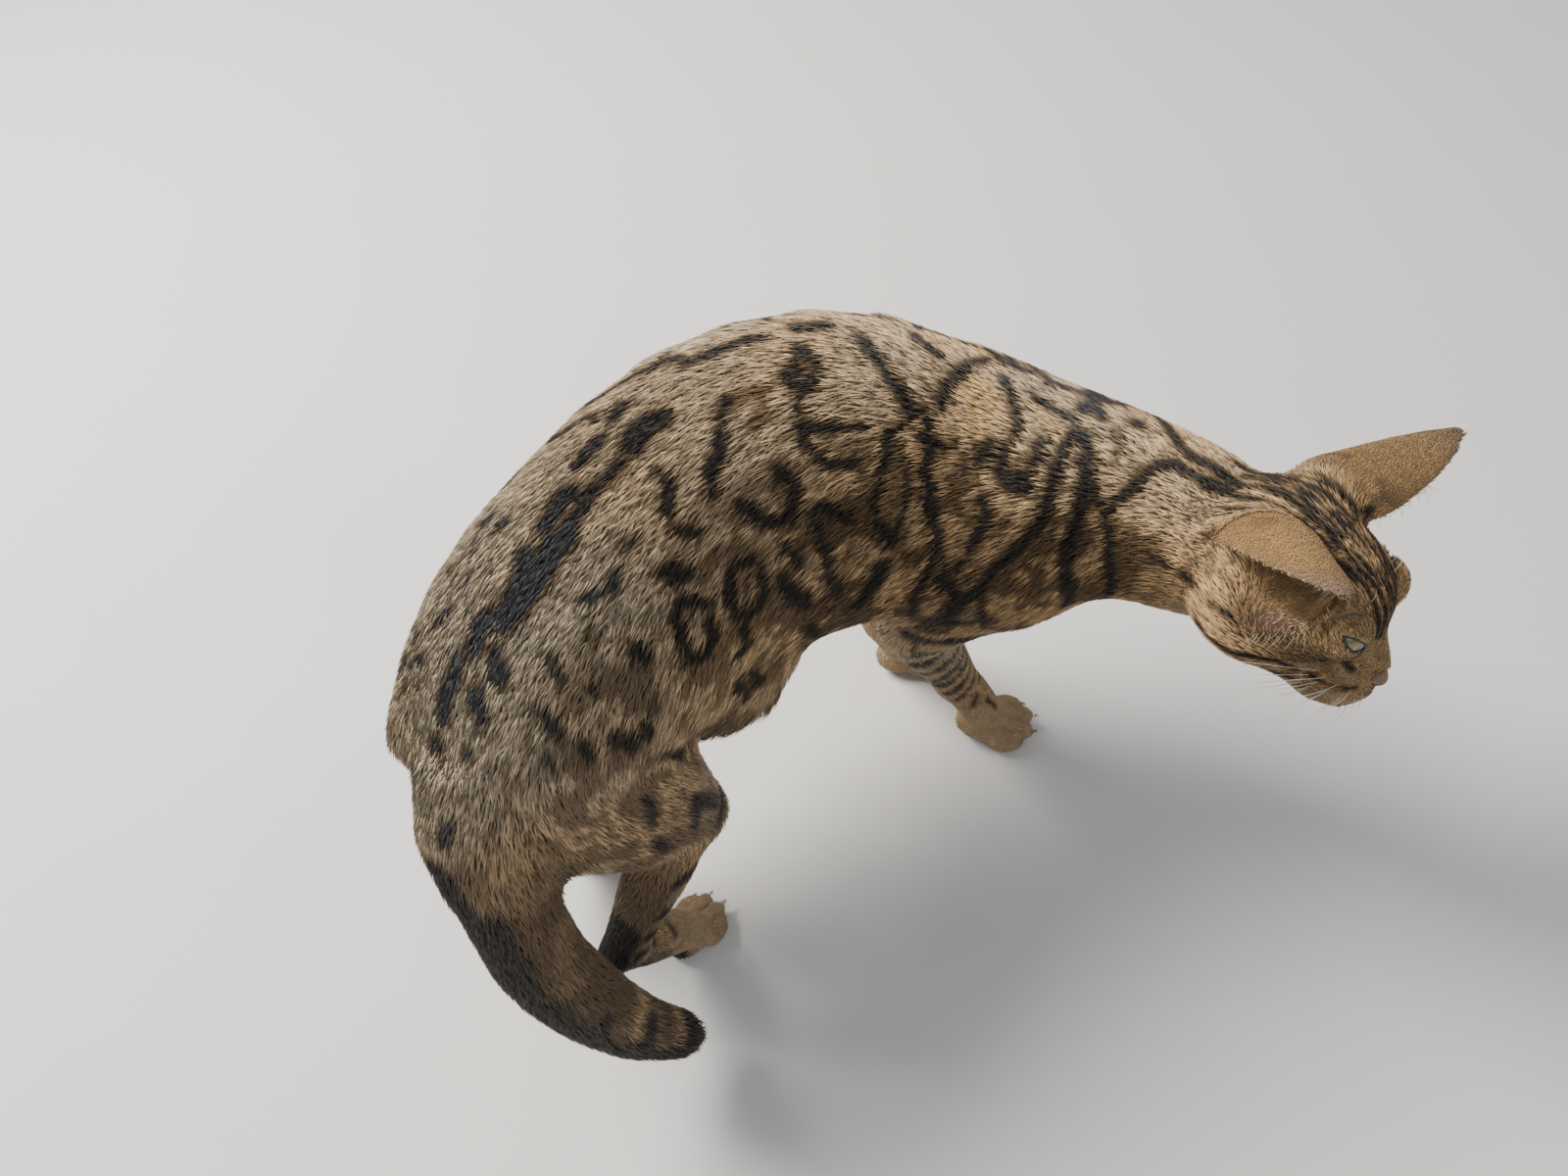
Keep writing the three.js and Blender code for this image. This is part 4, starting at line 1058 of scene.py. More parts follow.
class Wires:
    """Adds nodes to a tree and links them, in few words."""

    def __init__(self, tree):
        self.tree = tree

    def node(self, kind, settings=None, **inputs):
        """A node with some settings and inputs."""
        made = self.tree.nodes.new(kind)
        for name, value in (settings or {}).items():
            setattr(made, name, value)
        self.feed(made, **inputs)
        return made

    def feed(self, made, **inputs):
        """Sets a node's inputs, named or numbered as i0, i1 and so on, to values or links them to sockets."""
        for name, value in inputs.items():
            key = int(name[1:]) if name[0] == "i" and name[1:].isdigit() else name.replace("_", " ")
            socket = made.inputs[key]
            if isinstance(value, bpy.types.NodeSocket):
                self.tree.links.new(value, socket)
            else:
                socket.default_value = value

    def maths(self, operation, a, b=0.0, clamp=False):
        """The result of one sum."""
        settings = {"operation": operation, "use_clamp": clamp}
        return self.node("ShaderNodeMath", settings, i0=a, i1=b).outputs[0]

    def mix(self, share, a, b, blend="MIX"):
        """A mix of two colours."""
        settings = {"data_type": "RGBA", "blend_type": blend}
        return self.node("ShaderNodeMix", settings, i0=share, i6=a, i7=b).outputs[2]

    def times(self, colour, value):
        """A colour made darker or lighter by a number."""
        grey = self.node("ShaderNodeCombineXYZ", i0=value, i1=value, i2=value).outputs[0]
        return self.mix(1.0, colour, grey, "MULTIPLY")

    def rise(self, value, low, high, bottom=0.0, top=1.0):
        """A number carried from one range to another."""
        settings = {"interpolation_type": "SMOOTHSTEP"}
        return self.node(
            "ShaderNodeMapRange", settings, i0=value, i1=low, i2=high, i3=bottom, i4=top).outputs[0]

    def place(self):
        """Places in the piece's own coordinates."""
        return self.node("ShaderNodeTexCoord").outputs["Object"]

    def noise(self, place, scale, detail, roughness=0.5):
        """Smooth noise at places."""
        return self.node(
            "ShaderNodeTexNoise", Vector=place, Scale=scale, Detail=detail, Roughness=roughness).outputs[0]

    def vectors(self, operation, a, **inputs):
        """The node of a sum on vectors."""
        return self.node("ShaderNodeVectorMath", {"operation": operation}, i0=a, **inputs)

    def attribute(self, name):
        """The colour and fourth number of an attribute."""
        made = self.node("ShaderNodeAttribute", {"attribute_name": name})
        return made.outputs["Color"], made.outputs["Alpha"]

    def parts(self, colour):
        """The three numbers of a colour."""
        return self.node("ShaderNodeSeparateColor", i0=colour).outputs[:3]


def new_material(name):
    """A material with one shader, and the wires to its nodes."""
    material = bpy.data.materials.new(name)
    material.use_nodes = True
    shader = material.node_tree.nodes["Principled BSDF"]
    return material, shader, Wires(material.node_tree)


COAT_COLOURS = (
    "Ground", "Grey ground", "Golden ground", "Brown", "Black", "Slate", "Pale", "Gold patch", "Ear",
    "Ear tip", "Bare skin",
)


def coat_colour_group():
    """The colour of the coat and skin from their markings, for tufts and skin alike."""
    tree = bpy.data.node_groups.new("coat_colour", "ShaderNodeTree")
    wires = Wires(tree)
    for name in ("Random", "Along"):
        socket = tree.interface.new_socket(name, in_out="INPUT", socket_type="NodeSocketFloat")
        socket.default_value = 0.5
    for name in COAT_COLOURS:
        tree.interface.new_socket(name, in_out="INPUT", socket_type="NodeSocketColor")
    tree.interface.new_socket("Colour", in_out="OUTPUT", socket_type="NodeSocketColor")
    given = wires.node("NodeGroupInput").outputs
    random, along = given["Random"], given["Along"]
    marks, gold_patch = wires.attribute("coat_marks")
    dark, brown, pale = wires.parts(marks)
    tone, _ = wires.attribute("coat_tone")
    grey, golden, _ = wires.parts(tone)
    ear_colour, _ = wires.attribute("coat_ear")
    bare, ear, _ = wires.parts(ear_colour)
    colour = wires.mix(golden, given["Ground"], given["Golden ground"])
    colour = wires.mix(grey, colour, given["Grey ground"])
    colour = wires.mix(ear, colour, wires.mix(grey, given["Ear"], given["Ear tip"]))
    ticking = wires.rise(random, 0.1, 0.9, 0.42, 1.6)
    even = wires.maths("MAXIMUM", ear, pale)
    even = wires.maths("MAXIMUM", even, wires.maths("MULTIPLY", gold_patch, 0.8))
    even = wires.maths("MULTIPLY", even, 0.65)
    ticking = wires.node("ShaderNodeMix", {"data_type": "FLOAT"}, i0=even, i2=ticking, i3=1.0).outputs[0]
    colour = wires.times(colour, ticking)
    colour = wires.times(colour, wires.rise(along, 0.3, 1.0, 0.86, 1.16))
    strewn = wires.maths("MULTIPLY", wires.maths("SUBTRACT", random, 0.5), 0.42)
    colour = wires.mix(wires.maths("MULTIPLY", pale, 0.85), colour, given["Pale"])
    # Dark marks along the back turn towards a paler blue-grey: a painted sheen, standing in for light
    # glancing off them.
    black = wires.mix(wires.rise(grey, 0.5, 0.95, 0.0, 0.75), given["Black"], given["Slate"])
    for mask, low, high, paint in (
        (gold_patch, 0.2, 0.8, given["Gold patch"]),
        (brown, 0.1, 0.9, given["Brown"]),
        (dark, 0.25, 0.75, black),
    ):
        colour = wires.mix(wires.rise(wires.maths("ADD", mask, strewn), low, high), colour, paint)
    colour = wires.mix(bare, colour, given["Bare skin"])
    wires.node("NodeGroupOutput", Colour=colour)
    return tree


def coat_material(name, colours, group, on_skin):
    """The finish of the tufts, or of the skin below them."""
    material, shader, wires = new_material(name)
    made = wires.node("ShaderNodeGroup", {"node_tree": group})
    for name in COAT_COLOURS:
        made.inputs[name].default_value = getattr(colours, name.lower().replace(" ", "_"))
    if on_skin:
        at = wires.place()
        lie = wires.node("ShaderNodeAttribute", {"attribute_name": "lie"}).outputs["Vector"]
        run = wires.vectors("DOT_PRODUCT", at, i1=lie).outputs["Value"]
        drawn = wires.vectors("SCALE", lie, Scale=wires.maths("MULTIPLY", run, 0.86)).outputs[0]
        hair = wires.noise(wires.vectors("SUBTRACT", at, i1=drawn).outputs[0], 1500.0, 3.0, 0.6)
        wires.feed(made, Random=wires.rise(hair, 0.3, 0.7), Along=0.45)
        bump = wires.node("ShaderNodeBump", Height=hair, Strength=0.55, Distance=0.0006).outputs[0]
        wires.feed(shader, Normal=bump, Roughness=wires.rise(hair, 0.2, 0.8, 0.62, 0.8))
    else:
        tone, along = wires.attribute("coat_tone")
        random = wires.parts(tone)[2]
        wires.feed(made, Random=random, Along=along)
        wires.feed(shader, Roughness=wires.rise(random, 0.0, 1.0, 0.42, 0.62))
    wires.feed(
        shader, Base_Color=made.outputs["Colour"], Sheen_Weight=0.06, Sheen_Roughness=0.5,
        Specular_IOR_Level=0.26)
    return material


def eye_material(colours):
    """Iris with an upright pupil, a dark ring and a wet surface."""
    material, shader, wires = new_material("eye_wet")
    layer, _ = wires.attribute("iris")
    across, upright, polar = wires.parts(layer)
    across, upright = (
        wires.maths("ABSOLUTE", wires.maths("SUBTRACT", part, 0.5)) for part in (across, upright))
    slit = wires.rise(upright, 0.0, 0.28, 0.075, 0.0)
    pupil = wires.rise(wires.maths("SUBTRACT", across, slit), -0.008, 0.008, 1.0, 0.0)
    rays = wires.noise(wires.place(), 900.0, 4.0, 0.7)
    iris = wires.mix(wires.rise(polar, 0.1, 0.62), colours.iris_inner, colours.iris_outer)
    iris = wires.mix(wires.rise(rays, 0.35, 0.75, 0.0, 0.5), iris, (0.05, 0.035, 0.008, 1))
    iris = wires.mix(pupil, iris, (0.002, 0.002, 0.002, 1))
    colour = wires.mix(wires.rise(polar, 0.66, 0.74), iris, (0.012, 0.008, 0.005, 1))
    wires.feed(
        shader, Base_Color=colour, Roughness=wires.rise(rays, 0.3, 0.7, 0.1, 0.16), Coat_Weight=1.0,
        Coat_Roughness=0.02)
    return material


def leather_material(name, colour, dark_and_shade_colour, pebble, roughness):
    """Bare skin with small pebbles, as on the nose and the lids."""
    material, shader, wires = new_material(name)
    at = wires.place()
    cells = wires.node("ShaderNodeTexVoronoi", Vector=at, Scale=pebble).outputs["Distance"]
    stain = wires.noise(at, 330.0, 3.0)
    # The stored shade mixes the leather towards the darker colour: on the nose that is painted shade in the
    # nostrils, the groove and underneath; on the lids a steady dark.
    edge = wires.parts(wires.attribute("shade")[0])[0]
    mixed = wires.maths("ADD", edge, wires.rise(stain, 0.4, 0.75, 0.0, 0.35), True)
    bump = wires.node("ShaderNodeBump", Height=cells, Strength=0.5, Distance=0.0003).outputs[0]
    wires.feed(
        shader, Base_Color=wires.mix(mixed, colour, dark_and_shade_colour), Normal=bump,
        Roughness=wires.rise(cells, 0.0, 0.6, roughness, roughness + 0.16))
    return material


def horn_material(name, root_colour, tip_colour, roughness):
    """Horn or whisker that changes from its root to its tip."""
    material, shader, wires = new_material(name)
    along = wires.parts(wires.attribute("shade")[0])[0]
    grain = wires.noise(wires.place(), 1200.0, 2.0)
    mixed = wires.maths("ADD", along, wires.rise(grain, 0.3, 0.8, -0.1, 0.15), True)
    wires.feed(
        shader, Base_Color=wires.mix(mixed, root_colour, tip_colour),
        Roughness=wires.rise(grain, 0.2, 0.8, roughness, roughness + 0.12))
    return material


def floor_material(colour):
    """A plain pale floor with a faint unevenness."""
    material, shader, wires = new_material("pale_floor")
    cloud = wires.noise(wires.place(), 6.0, 3.0)
    darker = tuple(part * 0.94 for part in colour[:3]) + (1,)
    wires.feed(
        shader, Base_Color=wires.mix(cloud, tuple(colour), darker),
        Roughness=wires.rise(cloud, 0.2, 0.8, 0.7, 0.82))
    return material


# ---- Small pieces --------------------------------------------------------------------------------


def grid_triangles(rings, sides):
    """Triangles of a closed skin of rings between two poles; the poles are the last two points."""
    rows = []
    for ring in range(rings - 1):
        for k in range(sides):
            a, b = ring * sides + k, ring * sides + (k + 1) % sides
            rows += [(a, b, b + sides), (a, b + sides, a + sides)]
    first, last = rings * sides, rings * sides + 1
    for k in range(sides):
        rows.append((first, (k + 1) % sides, k))
        rows.append((last, (rings - 1) * sides + k, (rings - 1) * sides + (k + 1) % sides))
    return np.array(rows)


def outward(points, triangles):
    """The triangles of a closed skin, turned outwards."""
    corners = points[triangles] - points.mean(0)
    volume = np.sum(np.cross(corners[:, 0], corners[:, 1]) * corners[:, 2])
    return triangles if volume > 0 else triangles[:, ::-1]


def turns(sides):
    """Angles evenly round a circle."""
    return np.arange(sides) * 2 * math.pi / sides


def rings_round(side, face, sides):
    """Unit vectors in a circle round each point of a path, from two directions across it."""
    turn = turns(sides)[None, :, None]
    return side[:, None] * np.cos(turn) + face[:, None] * np.sin(turn)


def ball(rings, sides):
    """Forward, left and up at the points of a ball, ring by ring, and then at its two poles."""
    polar = np.linspace(0, math.pi, rings + 2)[1:-1]
    forward = np.r_[np.repeat(np.cos(polar), sides), 1, -1]
    wide = np.r_[np.repeat(np.sin(polar), sides), 0, 0]
    left, up = (wide * np.r_[np.tile(part(turns(sides)), rings), 0, 0] for part in (np.cos, np.sin))
    return forward, left, up


def tube(path, radii, up, sides=10):
    """Points and triangles of a closed tube along a path, and how far along each point is."""
    path = np.asarray(path, float)
    forward = unit(np.gradient(path, axis=0))
    side = unit(np.cross(forward, up))
    face = np.cross(side, forward)
    points = path[:, None] + rings_round(side, face, sides) * np.asarray(radii)[:, None, None]
    caps = np.stack([path[0] - forward[0] * radii[0] * 0.5, path[-1] + forward[-1] * radii[-1] * 0.5])
    whole = np.vstack([points.reshape(-1, 3), caps])
    share = np.r_[np.repeat(np.linspace(0, 1, len(path)), sides), 0, 1]
    return whole, grid_triangles(len(path), sides), share


def joined(parts):
    """Several lots of points, triangles and shares as one."""
    points, triangles, shares, start = [], [], [], 0
    for part_points, part_triangles, share in parts:
        points.append(part_points)
        triangles.append(part_triangles + start)
        shares.append(share)
        start += len(part_points)
    return np.vstack(points), np.vstack(triangles), np.concatenate(shares)


def shaded_mesh(name, parts):
    """One mesh of closed parts, which stores how far along or how near an edge each vertex is, and on the
    nose how deep it lies in painted shade.
    """
    parts = [(points, outward(points, triangles), share) for points, triangles, share in parts]
    points, triangles, share = joined(parts)
    mesh = triangle_mesh(name, points, triangles)
    store(mesh, "shade", np.stack([share, share, share, np.ones(len(share))], 1))
    return mesh


def eyeball_mesh(name, centre, radius, gaze, across, up):
    """A ball with the swell of the cornea, and its angles from the gaze."""
    across = unit(across - (across @ gaze) * gaze)
    up = unit(np.cross(gaze, across) * np.sign(np.cross(gaze, across) @ up))
    rings, sides = 40, 64
    forward, left, above = ball(rings, sides)
    ways = forward[:, None] * gaze + left[:, None] * across + above[:, None] * up
    angle = np.arccos(np.clip(forward, -1, 1))
    reach = radius + 0.0005 * np.exp(-(angle / 0.5) ** 2) - 0.0002
    points = centre + ways * reach[:, None]
    mesh = triangle_mesh(name, points, outward(points, grid_triangles(rings, sides)))
    flat = np.stack([ways @ across, ways @ up], 1) * 0.5 + 0.5
    store(mesh, "iris", np.column_stack([flat, np.minimum(angle / 1.2, 1), np.ones(len(angle))]))
    return mesh


def lid_rims():
    """The dark margins of the lids, round each eye's opening."""
    parts = []
    for centre, radius, outward, across, up, _ in eye_frames().values():
        half = OPENING[0]
        steps = np.linspace(0, 2 * math.pi, 61)[:-1]
        x = half * np.cos(steps)
        y = np.where(np.sin(steps) >= 0, lid_edge(x, True), lid_edge(x, False))
        path = []
        for a, b in zip(x, y):
            a, b = a * MM / radius, b * MM / radius
            way = unit(outward * math.cos(a) * math.cos(b) + across * math.sin(a) + up * math.sin(b))
            path.append(centre + way * (radius + 0.00045))
        path = np.array(path)
        sides = 8
        forward = unit(np.roll(path, -1, 0) - np.roll(path, 1, 0))
        out = unit(path - centre)
        side = np.cross(forward, out)
        thick = 0.00062 + 0.00035 * np.exp(-((x - half) / 1.6) ** 2)
        points = (path[:, None] + rings_round(side, out, sides) * thick[:, None, None]).reshape(-1, 3)
        rows = []
        for i in range(len(path)):
            j = (i + 1) % len(path)
            for k in range(sides):
                m = (k + 1) % sides
                a, b, c, d = i * sides + k, i * sides + m, j * sides + m, j * sides + k
                rows += [(a, b, c), (a, c, d)]
        parts.append((points, np.array(rows), np.full(len(points), 0.8)))
    return shaded_mesh("lids", parts)


def nose_mesh():
    """The nose leather, with its nostrils, the groove between them and its narrow foot."""
    rings, sides = 36, 56
    forward, left, up = ball(rings, sides)
    x, y, z = forward * 6.1, left * 7.5, up * 4.9
    y = y * (0.68 + 0.34 * smooth_step(-0.8, 0.5, up))
    x = x + 0.5 * np.exp(-((left / 0.45) ** 2)) * (forward > 0)
    x = x - 0.9 * smooth_step(0.0, 1.0, up) * (forward > 0)
    nostril = np.zeros(len(x))
    for sign in (1, -1):
        heart = np.exp(-((left * sign - 0.47) / 0.17) ** 2 - ((up + 0.12) / 0.2) ** 2)
        comma = np.exp(-((left * sign - 0.72) / 0.2) ** 2 - ((up + 0.3) / 0.1) ** 2)
        nostril = np.maximum(nostril, np.maximum(heart, 0.8 * comma) * smooth_step(-0.1, 0.3, forward))
    groove = np.exp(-((left / 0.07) ** 2)) * smooth_step(0.3, -0.3, up) * (forward > 0)
    x = x - 2.4 * nostril - 0.8 * groove
    points = from_head(np.stack([x, y, z], 1) + (NOSE_CENTRE[0] - 1.6, NOSE_CENTRE[1], NOSE_CENTRE[2]))
    # Painted shade: the nostrils and the groove are darkened in their hollows and the underside is darkened;
    # the leather is also darker towards its back.
    shade = np.clip(nostril * 1.3 + groove * 0.5 + 0.9 * smooth_step(0.35, -0.05, forward), 0, 1)
    shade = np.maximum(shade, 0.75 * smooth_step(0.1, -0.7, up))
    return shaded_mesh("nose_leather", [(points, grid_triangles(rings, sides), shade)])


def claw_parts(names):
    """Curved horns in the places of the claw nodes."""
    parts = []
    for name in names:
        points, _, _ = read_mesh(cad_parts[name].data)
        points = np.unique(points.round(6), axis=0)
        spread = np.linalg.norm(points - points.mean(0), axis=1)
        tip = points[spread.argmax()]
        gap = np.linalg.norm(points - tip, axis=1)
        base = points[gap > gap.max() * 0.8].mean(0)
        steps = np.linspace(0, 1, 9)
        path = base + (tip - base) * steps[:, None]
        path[:, 2] += 0.0009 * np.sin(steps * math.pi)
        radii = 0.0009 * (1 - steps) ** 0.7 + 0.00008
        parts.append(tube(path, radii, np.array((0, 0, 1.0))))
    return parts


def whisker_paths(rng):
    """Roots and curves of the whiskers of the lips and brows."""
    paths = []
    for sign in (1, -1):
        for row in range(4):
            for column in range(5):
                root = np.array(
                    (57 - column * 4.2 - row * 0.6, sign * (8.5 + column * 2.0), -12.5 - row * 3.1))
                length = (26 + 5.5 * column + rng.uniform(-3, 3)) * (1.0 - 0.1 * row)
                way = unit((0.45 - 0.28 * column, sign * 1.0, 0.12 - 0.2 * row + rng.uniform(-0.06, 0.06)))
                paths.append((root, way, length, np.array((-0.35, 0, -0.32))))
        for k in range(3):
            root = np.array((30 - 3 * k, sign * (12 + 4 * k), 20 - 1.0 * k))
            way = unit((0.5, sign * 0.35, 0.9 - 0.15 * k))
            paths.append((root, way, 20 - 3 * k, np.array((-0.5, 0, -0.1))))
    return paths


def ear_hair_paths(settings):
    """Roots and curves of the long pale hairs in the ears."""
    rng = np.random.default_rng(settings.seed + 5)
    skin = bpy.data.objects["skin"].data
    points, triangles, _ = read_mesh(skin)
    normals = normals_of(points, triangles)
    inside = stored(skin, "coat_ear")[:, 0]
    local = in_head(points)
    paths = []
    for sign in (1, -1):
        height, _, opening, axis = ear_measure(local, sign)
        near = np.flatnonzero((inside > 0.4) & (height > 2) & (height < 40) & (local[:, 1] * sign > 0))
        order = near[np.argsort(-local[near, 0])][: len(near) // 2]
        for at in rng.choice(order, min(settings.ear_hairs, len(order)), replace=False):
            facing = normals[at] @ HEAD_AXES.T
            way = unit(facing * 0.55 + opening * 0.35 - np.array((0.8, 0, 0)) * 0.3 + axis * 0.5)
            way = unit(way + rng.normal(0, 0.12, 3))
            paths.append((local[at] - facing * 0.4, way, rng.uniform(6, 12), np.array((-0.2, 0, -0.2))))
    return paths


def strand_lines(name, paths, points_each=12):
    """A mesh of bare edges, one bent line for each strand."""
    rows, edges = [], []
    for root, way, length, bend in paths:
        start = len(rows)
        for t in np.linspace(0, 1, points_each):
            rows.append(root + way * length * t + bend * length * t * t)
        edges += [(start + k, start + k + 1) for k in range(points_each - 1)]
    mesh = bpy.data.meshes.new(name)
    mesh.from_pydata([tuple(row) for row in from_head(rows)], edges, [])
    return mesh


def strand_tree():
    """Turns bare edges into tapering closed hairs that store how far along each place is."""
    tree = bpy.data.node_groups.new("hair_strands", "GeometryNodeTree")
    tree.interface.new_socket("Lines", in_out="INPUT", socket_type="NodeSocketGeometry")
    radius = tree.interface.new_socket("Root radius", in_out="INPUT", socket_type="NodeSocketFloat")
    radius.default_value = 0.00018
    sides = tree.interface.new_socket("Sides", in_out="INPUT", socket_type="NodeSocketInt")
    sides.default_value = 6
    tree.interface.new_socket("Finish", in_out="INPUT", socket_type="NodeSocketMaterial")
    tree.interface.new_socket("Hairs", in_out="OUTPUT", socket_type="NodeSocketGeometry")
    wires = Wires(tree)
    given = wires.node("NodeGroupInput").outputs
    curve = wires.node("GeometryNodeMeshToCurve", Mesh=given["Lines"]).outputs[0]
    along = wires.node("GeometryNodeSplineParameter").outputs["Factor"]
    taper = wires.node("ShaderNodeMapRange", i0=along, i1=0.0, i2=1.0, i3=1.0, i4=0.14).outputs[0]
    thick = wires.maths("MULTIPLY", taper, given["Root radius"])
    curve = wires.node("GeometryNodeSetCurveRadius", Curve=curve, Radius=thick).outputs[0]
    colour = wires.node("ShaderNodeCombineXYZ", X=along, Y=along, Z=along).outputs[0]
    curve = wires.node("GeometryNodeStoreNamedAttribute", {"data_type": "FLOAT_COLOR", "domain": "POINT"},
                       Geometry=curve, Name="shade", Value=colour).outputs[0]
    ring = wires.node("GeometryNodeCurvePrimitiveCircle", Resolution=given["Sides"], Radius=1.0).outputs[0]
    tube = wires.node("GeometryNodeCurveToMesh", Curve=curve, Profile_Curve=ring, Fill_Caps=True)
    if "Scale" in tube.inputs:
        tree.links.new(thick, tube.inputs["Scale"])
    smooth = wires.node("GeometryNodeSetShadeSmooth", Geometry=tube.outputs[0]).outputs[0]
    whole = wires.node("GeometryNodeRealizeInstances", Geometry=smooth).outputs[0]
    finished = wires.node("GeometryNodeSetMaterial", Geometry=whole, Material=given["Finish"]).outputs[0]
    wires.node("NodeGroupOutput", Hairs=finished)
    return tree


def grown_strands(name, paths, radius, sides, material):
    """The strands as one plain mesh, made by the strand tree."""
    work = bpy.data.objects.new("lines", strand_lines("lines", paths))
    bpy.context.scene.collection.objects.link(work)
    tree = bpy.data.node_groups.get("hair_strands") or strand_tree()
    modifier = work.modifiers.new("strands", "NODES")
    modifier.node_group = tree
    sockets = {item.name: item.identifier for item in tree.interface.items_tree if item.in_out == "INPUT"}
    modifier[sockets["Root radius"]] = radius
    modifier[sockets["Sides"]] = sides
    modifier[sockets["Finish"]] = material
    made = bpy.data.meshes.new_from_object(work.evaluated_get(bpy.context.evaluated_depsgraph_get()))
    made.name = name
    bpy.data.objects.remove(work)
    return made


# ---- Sizes and colours that may be changed -------------------------------------------------------


def colour_property(name, description, default):
    """A colour with a name and a default in linear light."""
    return FloatVectorProperty(
        name=name, description=description, default=(*default, 1), size=4, min=0, max=1, subtype="COLOR")


class CatCoatSizes(PropertyGroup):
    """Sizes of the skin and its coat."""

    voxel: FloatProperty(
        name="Skin grid", description="Grid of the remesh that joins the flesh", default=0.0015, min=0.001,
        unit="LENGTH", precision=5)
    skin_triangles: IntProperty(
        name="Skin triangles", description="Most triangles in the skin", default=180000, min=20000)
    tufts: IntProperty(name="Tufts", description="Tufts of hair on the whole body", default=246000, min=1000)
    tuft_width: FloatProperty(
        name="Tuft width", description="Width of a long tuft", default=0.00105, min=0.0002, unit="LENGTH",
        precision=5)
    ear_hairs: IntProperty(name="Ear hairs", description="Long hairs in each ear", default=130, min=0)
    whisker_radius: FloatProperty(
        name="Whisker radius", description="Radius of a whisker at its root", default=0.00019, min=0.00005,
        unit="LENGTH", precision=5)
    seed: IntProperty(name="Seed", description="Start of the random numbers", default=7, min=0)


class CatColours(PropertyGroup):
    """Colours of the coat, skin, eyes and horn."""

    ground: colour_property("Ground", "Tan of the coat between its marks", (0.40, 0.275, 0.15))
    grey_ground: colour_property("Grey ground", "Greyer coat along the back", (0.36, 0.285, 0.19))
    golden_ground: colour_property("Golden ground", "Warmer coat of the flanks", (0.39, 0.24, 0.105))
    brown: colour_property("Brown", "Middles of the rosettes", (0.115, 0.068, 0.028))
    black: colour_property("Black", "Dark marks", (0.020, 0.0145, 0.009))
    # A painted sheen: a paler blue-grey in the colour of the dark marks of the back, for light glancing off
    # them.
    slate: colour_property("Slate", "Sheen on the dark marks of the back", (0.040, 0.044, 0.048))
    ear_tip: colour_property("Ear tip", "Greyer tips of the ears", (0.25, 0.165, 0.105))
    pale: colour_property("Pale", "Belly, chin and paws", (0.46, 0.345, 0.215))
    gold_patch: colour_property("Gold patch", "Bright patches inside the marks", (0.50, 0.335, 0.155))
    ear: colour_property("Ear", "Backs of the ears", (0.37, 0.22, 0.09))
    bare_skin: colour_property("Bare skin", "Skin inside the ears", (0.15, 0.078, 0.058))
    iris_inner: colour_property("Iris, inner", "Iris beside the pupil", (0.24, 0.19, 0.035))
    iris_outer: colour_property("Iris, outer", "Rim of the iris", (0.13, 0.15, 0.035))
    nose: colour_property("Nose", "Nose leather", (0.21, 0.125, 0.072))
    # Also the darker colour of the nose leather, laid as painted shade in its nostrils, groove and underside.
    lid: colour_property("Lid", "Margins of the lids and nostrils", (0.012, 0.009, 0.008))
    claw_root: colour_property("Claw root", "Claw where it leaves the paw", (0.23, 0.17, 0.13))
    claw_tip: colour_property("Claw tip", "Point of a claw", (0.62, 0.55, 0.46))
    whisker_root: colour_property("Whisker root", "Whisker where it leaves the lip", (0.55, 0.5, 0.42))
    whisker_tip: colour_property("Whisker tip", "Fine end of a whisker", (0.78, 0.76, 0.7))


class CatStage(PropertyGroup):
    """Floor, light and camera."""

    floor_size: FloatProperty(
        name="Floor", description="Side of the square floor", default=6.0, min=1.0, unit="LENGTH")
    floor_colour: colour_property("Floor colour", "Plain pale floor", (0.72, 0.70, 0.67))
    key_power: FloatProperty(
        name="Key light", description="Power of the main soft light", default=82.0, min=0.0, unit="POWER")
    fill_power: FloatProperty(
        name="Fill light", description="Power of the weaker light by the camera", default=7.0, min=0.0,
        unit="POWER")
    sky: FloatProperty(name="Sky", description="Strength of the light all round", default=0.5, min=0.0)
    lens: FloatProperty(
        name="Lens", description="Focal length of the camera in millimetres", default=CAMERA_LENS, min=5.0)


# ---- Operators -----------------------------------------------------------------------------------


def coat_group():
    """The shared coat colour group, built once."""
    return bpy.data.node_groups.get("coat_colour") or coat_colour_group()


class CAT_OT_skin(Operator):
    """Joins the flesh into one skin, with its folds, lids, lips and markings"""

    bl_idname = "cat.skin"
    bl_label = "Skin"

    def execute(self, context):
        mesh, names = make_skin_mesh(context.scene.cat_coat)
        points, triangles, edges = read_mesh(mesh)
        normals = normals_of(points, triangles)
        lie = coat_measure(points)[2]
        for _ in range(3):
            lie = averaged(lie, edges, 0.8, 6)
            lie = unit(lie - np.sum(lie * normals, 1)[:, None] * normals)
        layer = mesh.attributes.new("lie", "FLOAT_VECTOR", "POINT")
        layer.data.foreach_set("vector", lie.astype(np.float32).ravel())
        painter = Painter(BVHTree.FromPolygons(points.tolist(), triangles.tolist()))
        masks = painter.masks(points, normals)
        grey, pale, bare, gold, ear, brown = ground_of(points, normals)
        masks[:, 1] = np.maximum(masks[:, 1], brown)
        masks[:, 2] = np.maximum(masks[:, 2], pale)
        store(mesh, "coat_marks", masks)
        nothing = np.zeros(len(points))
        store(mesh, "coat_tone", np.stack([grey, gold, nothing + 0.5, nothing], 1))
        store(mesh, "coat_ear", np.stack([bare, ear * (1 - bare), nothing, nothing], 1))
        colours = context.scene.cat_colours
        place("skin", mesh, coat_material("coat_skin", colours, coat_group(), True), "coat", names)
        return {"FINISHED"}


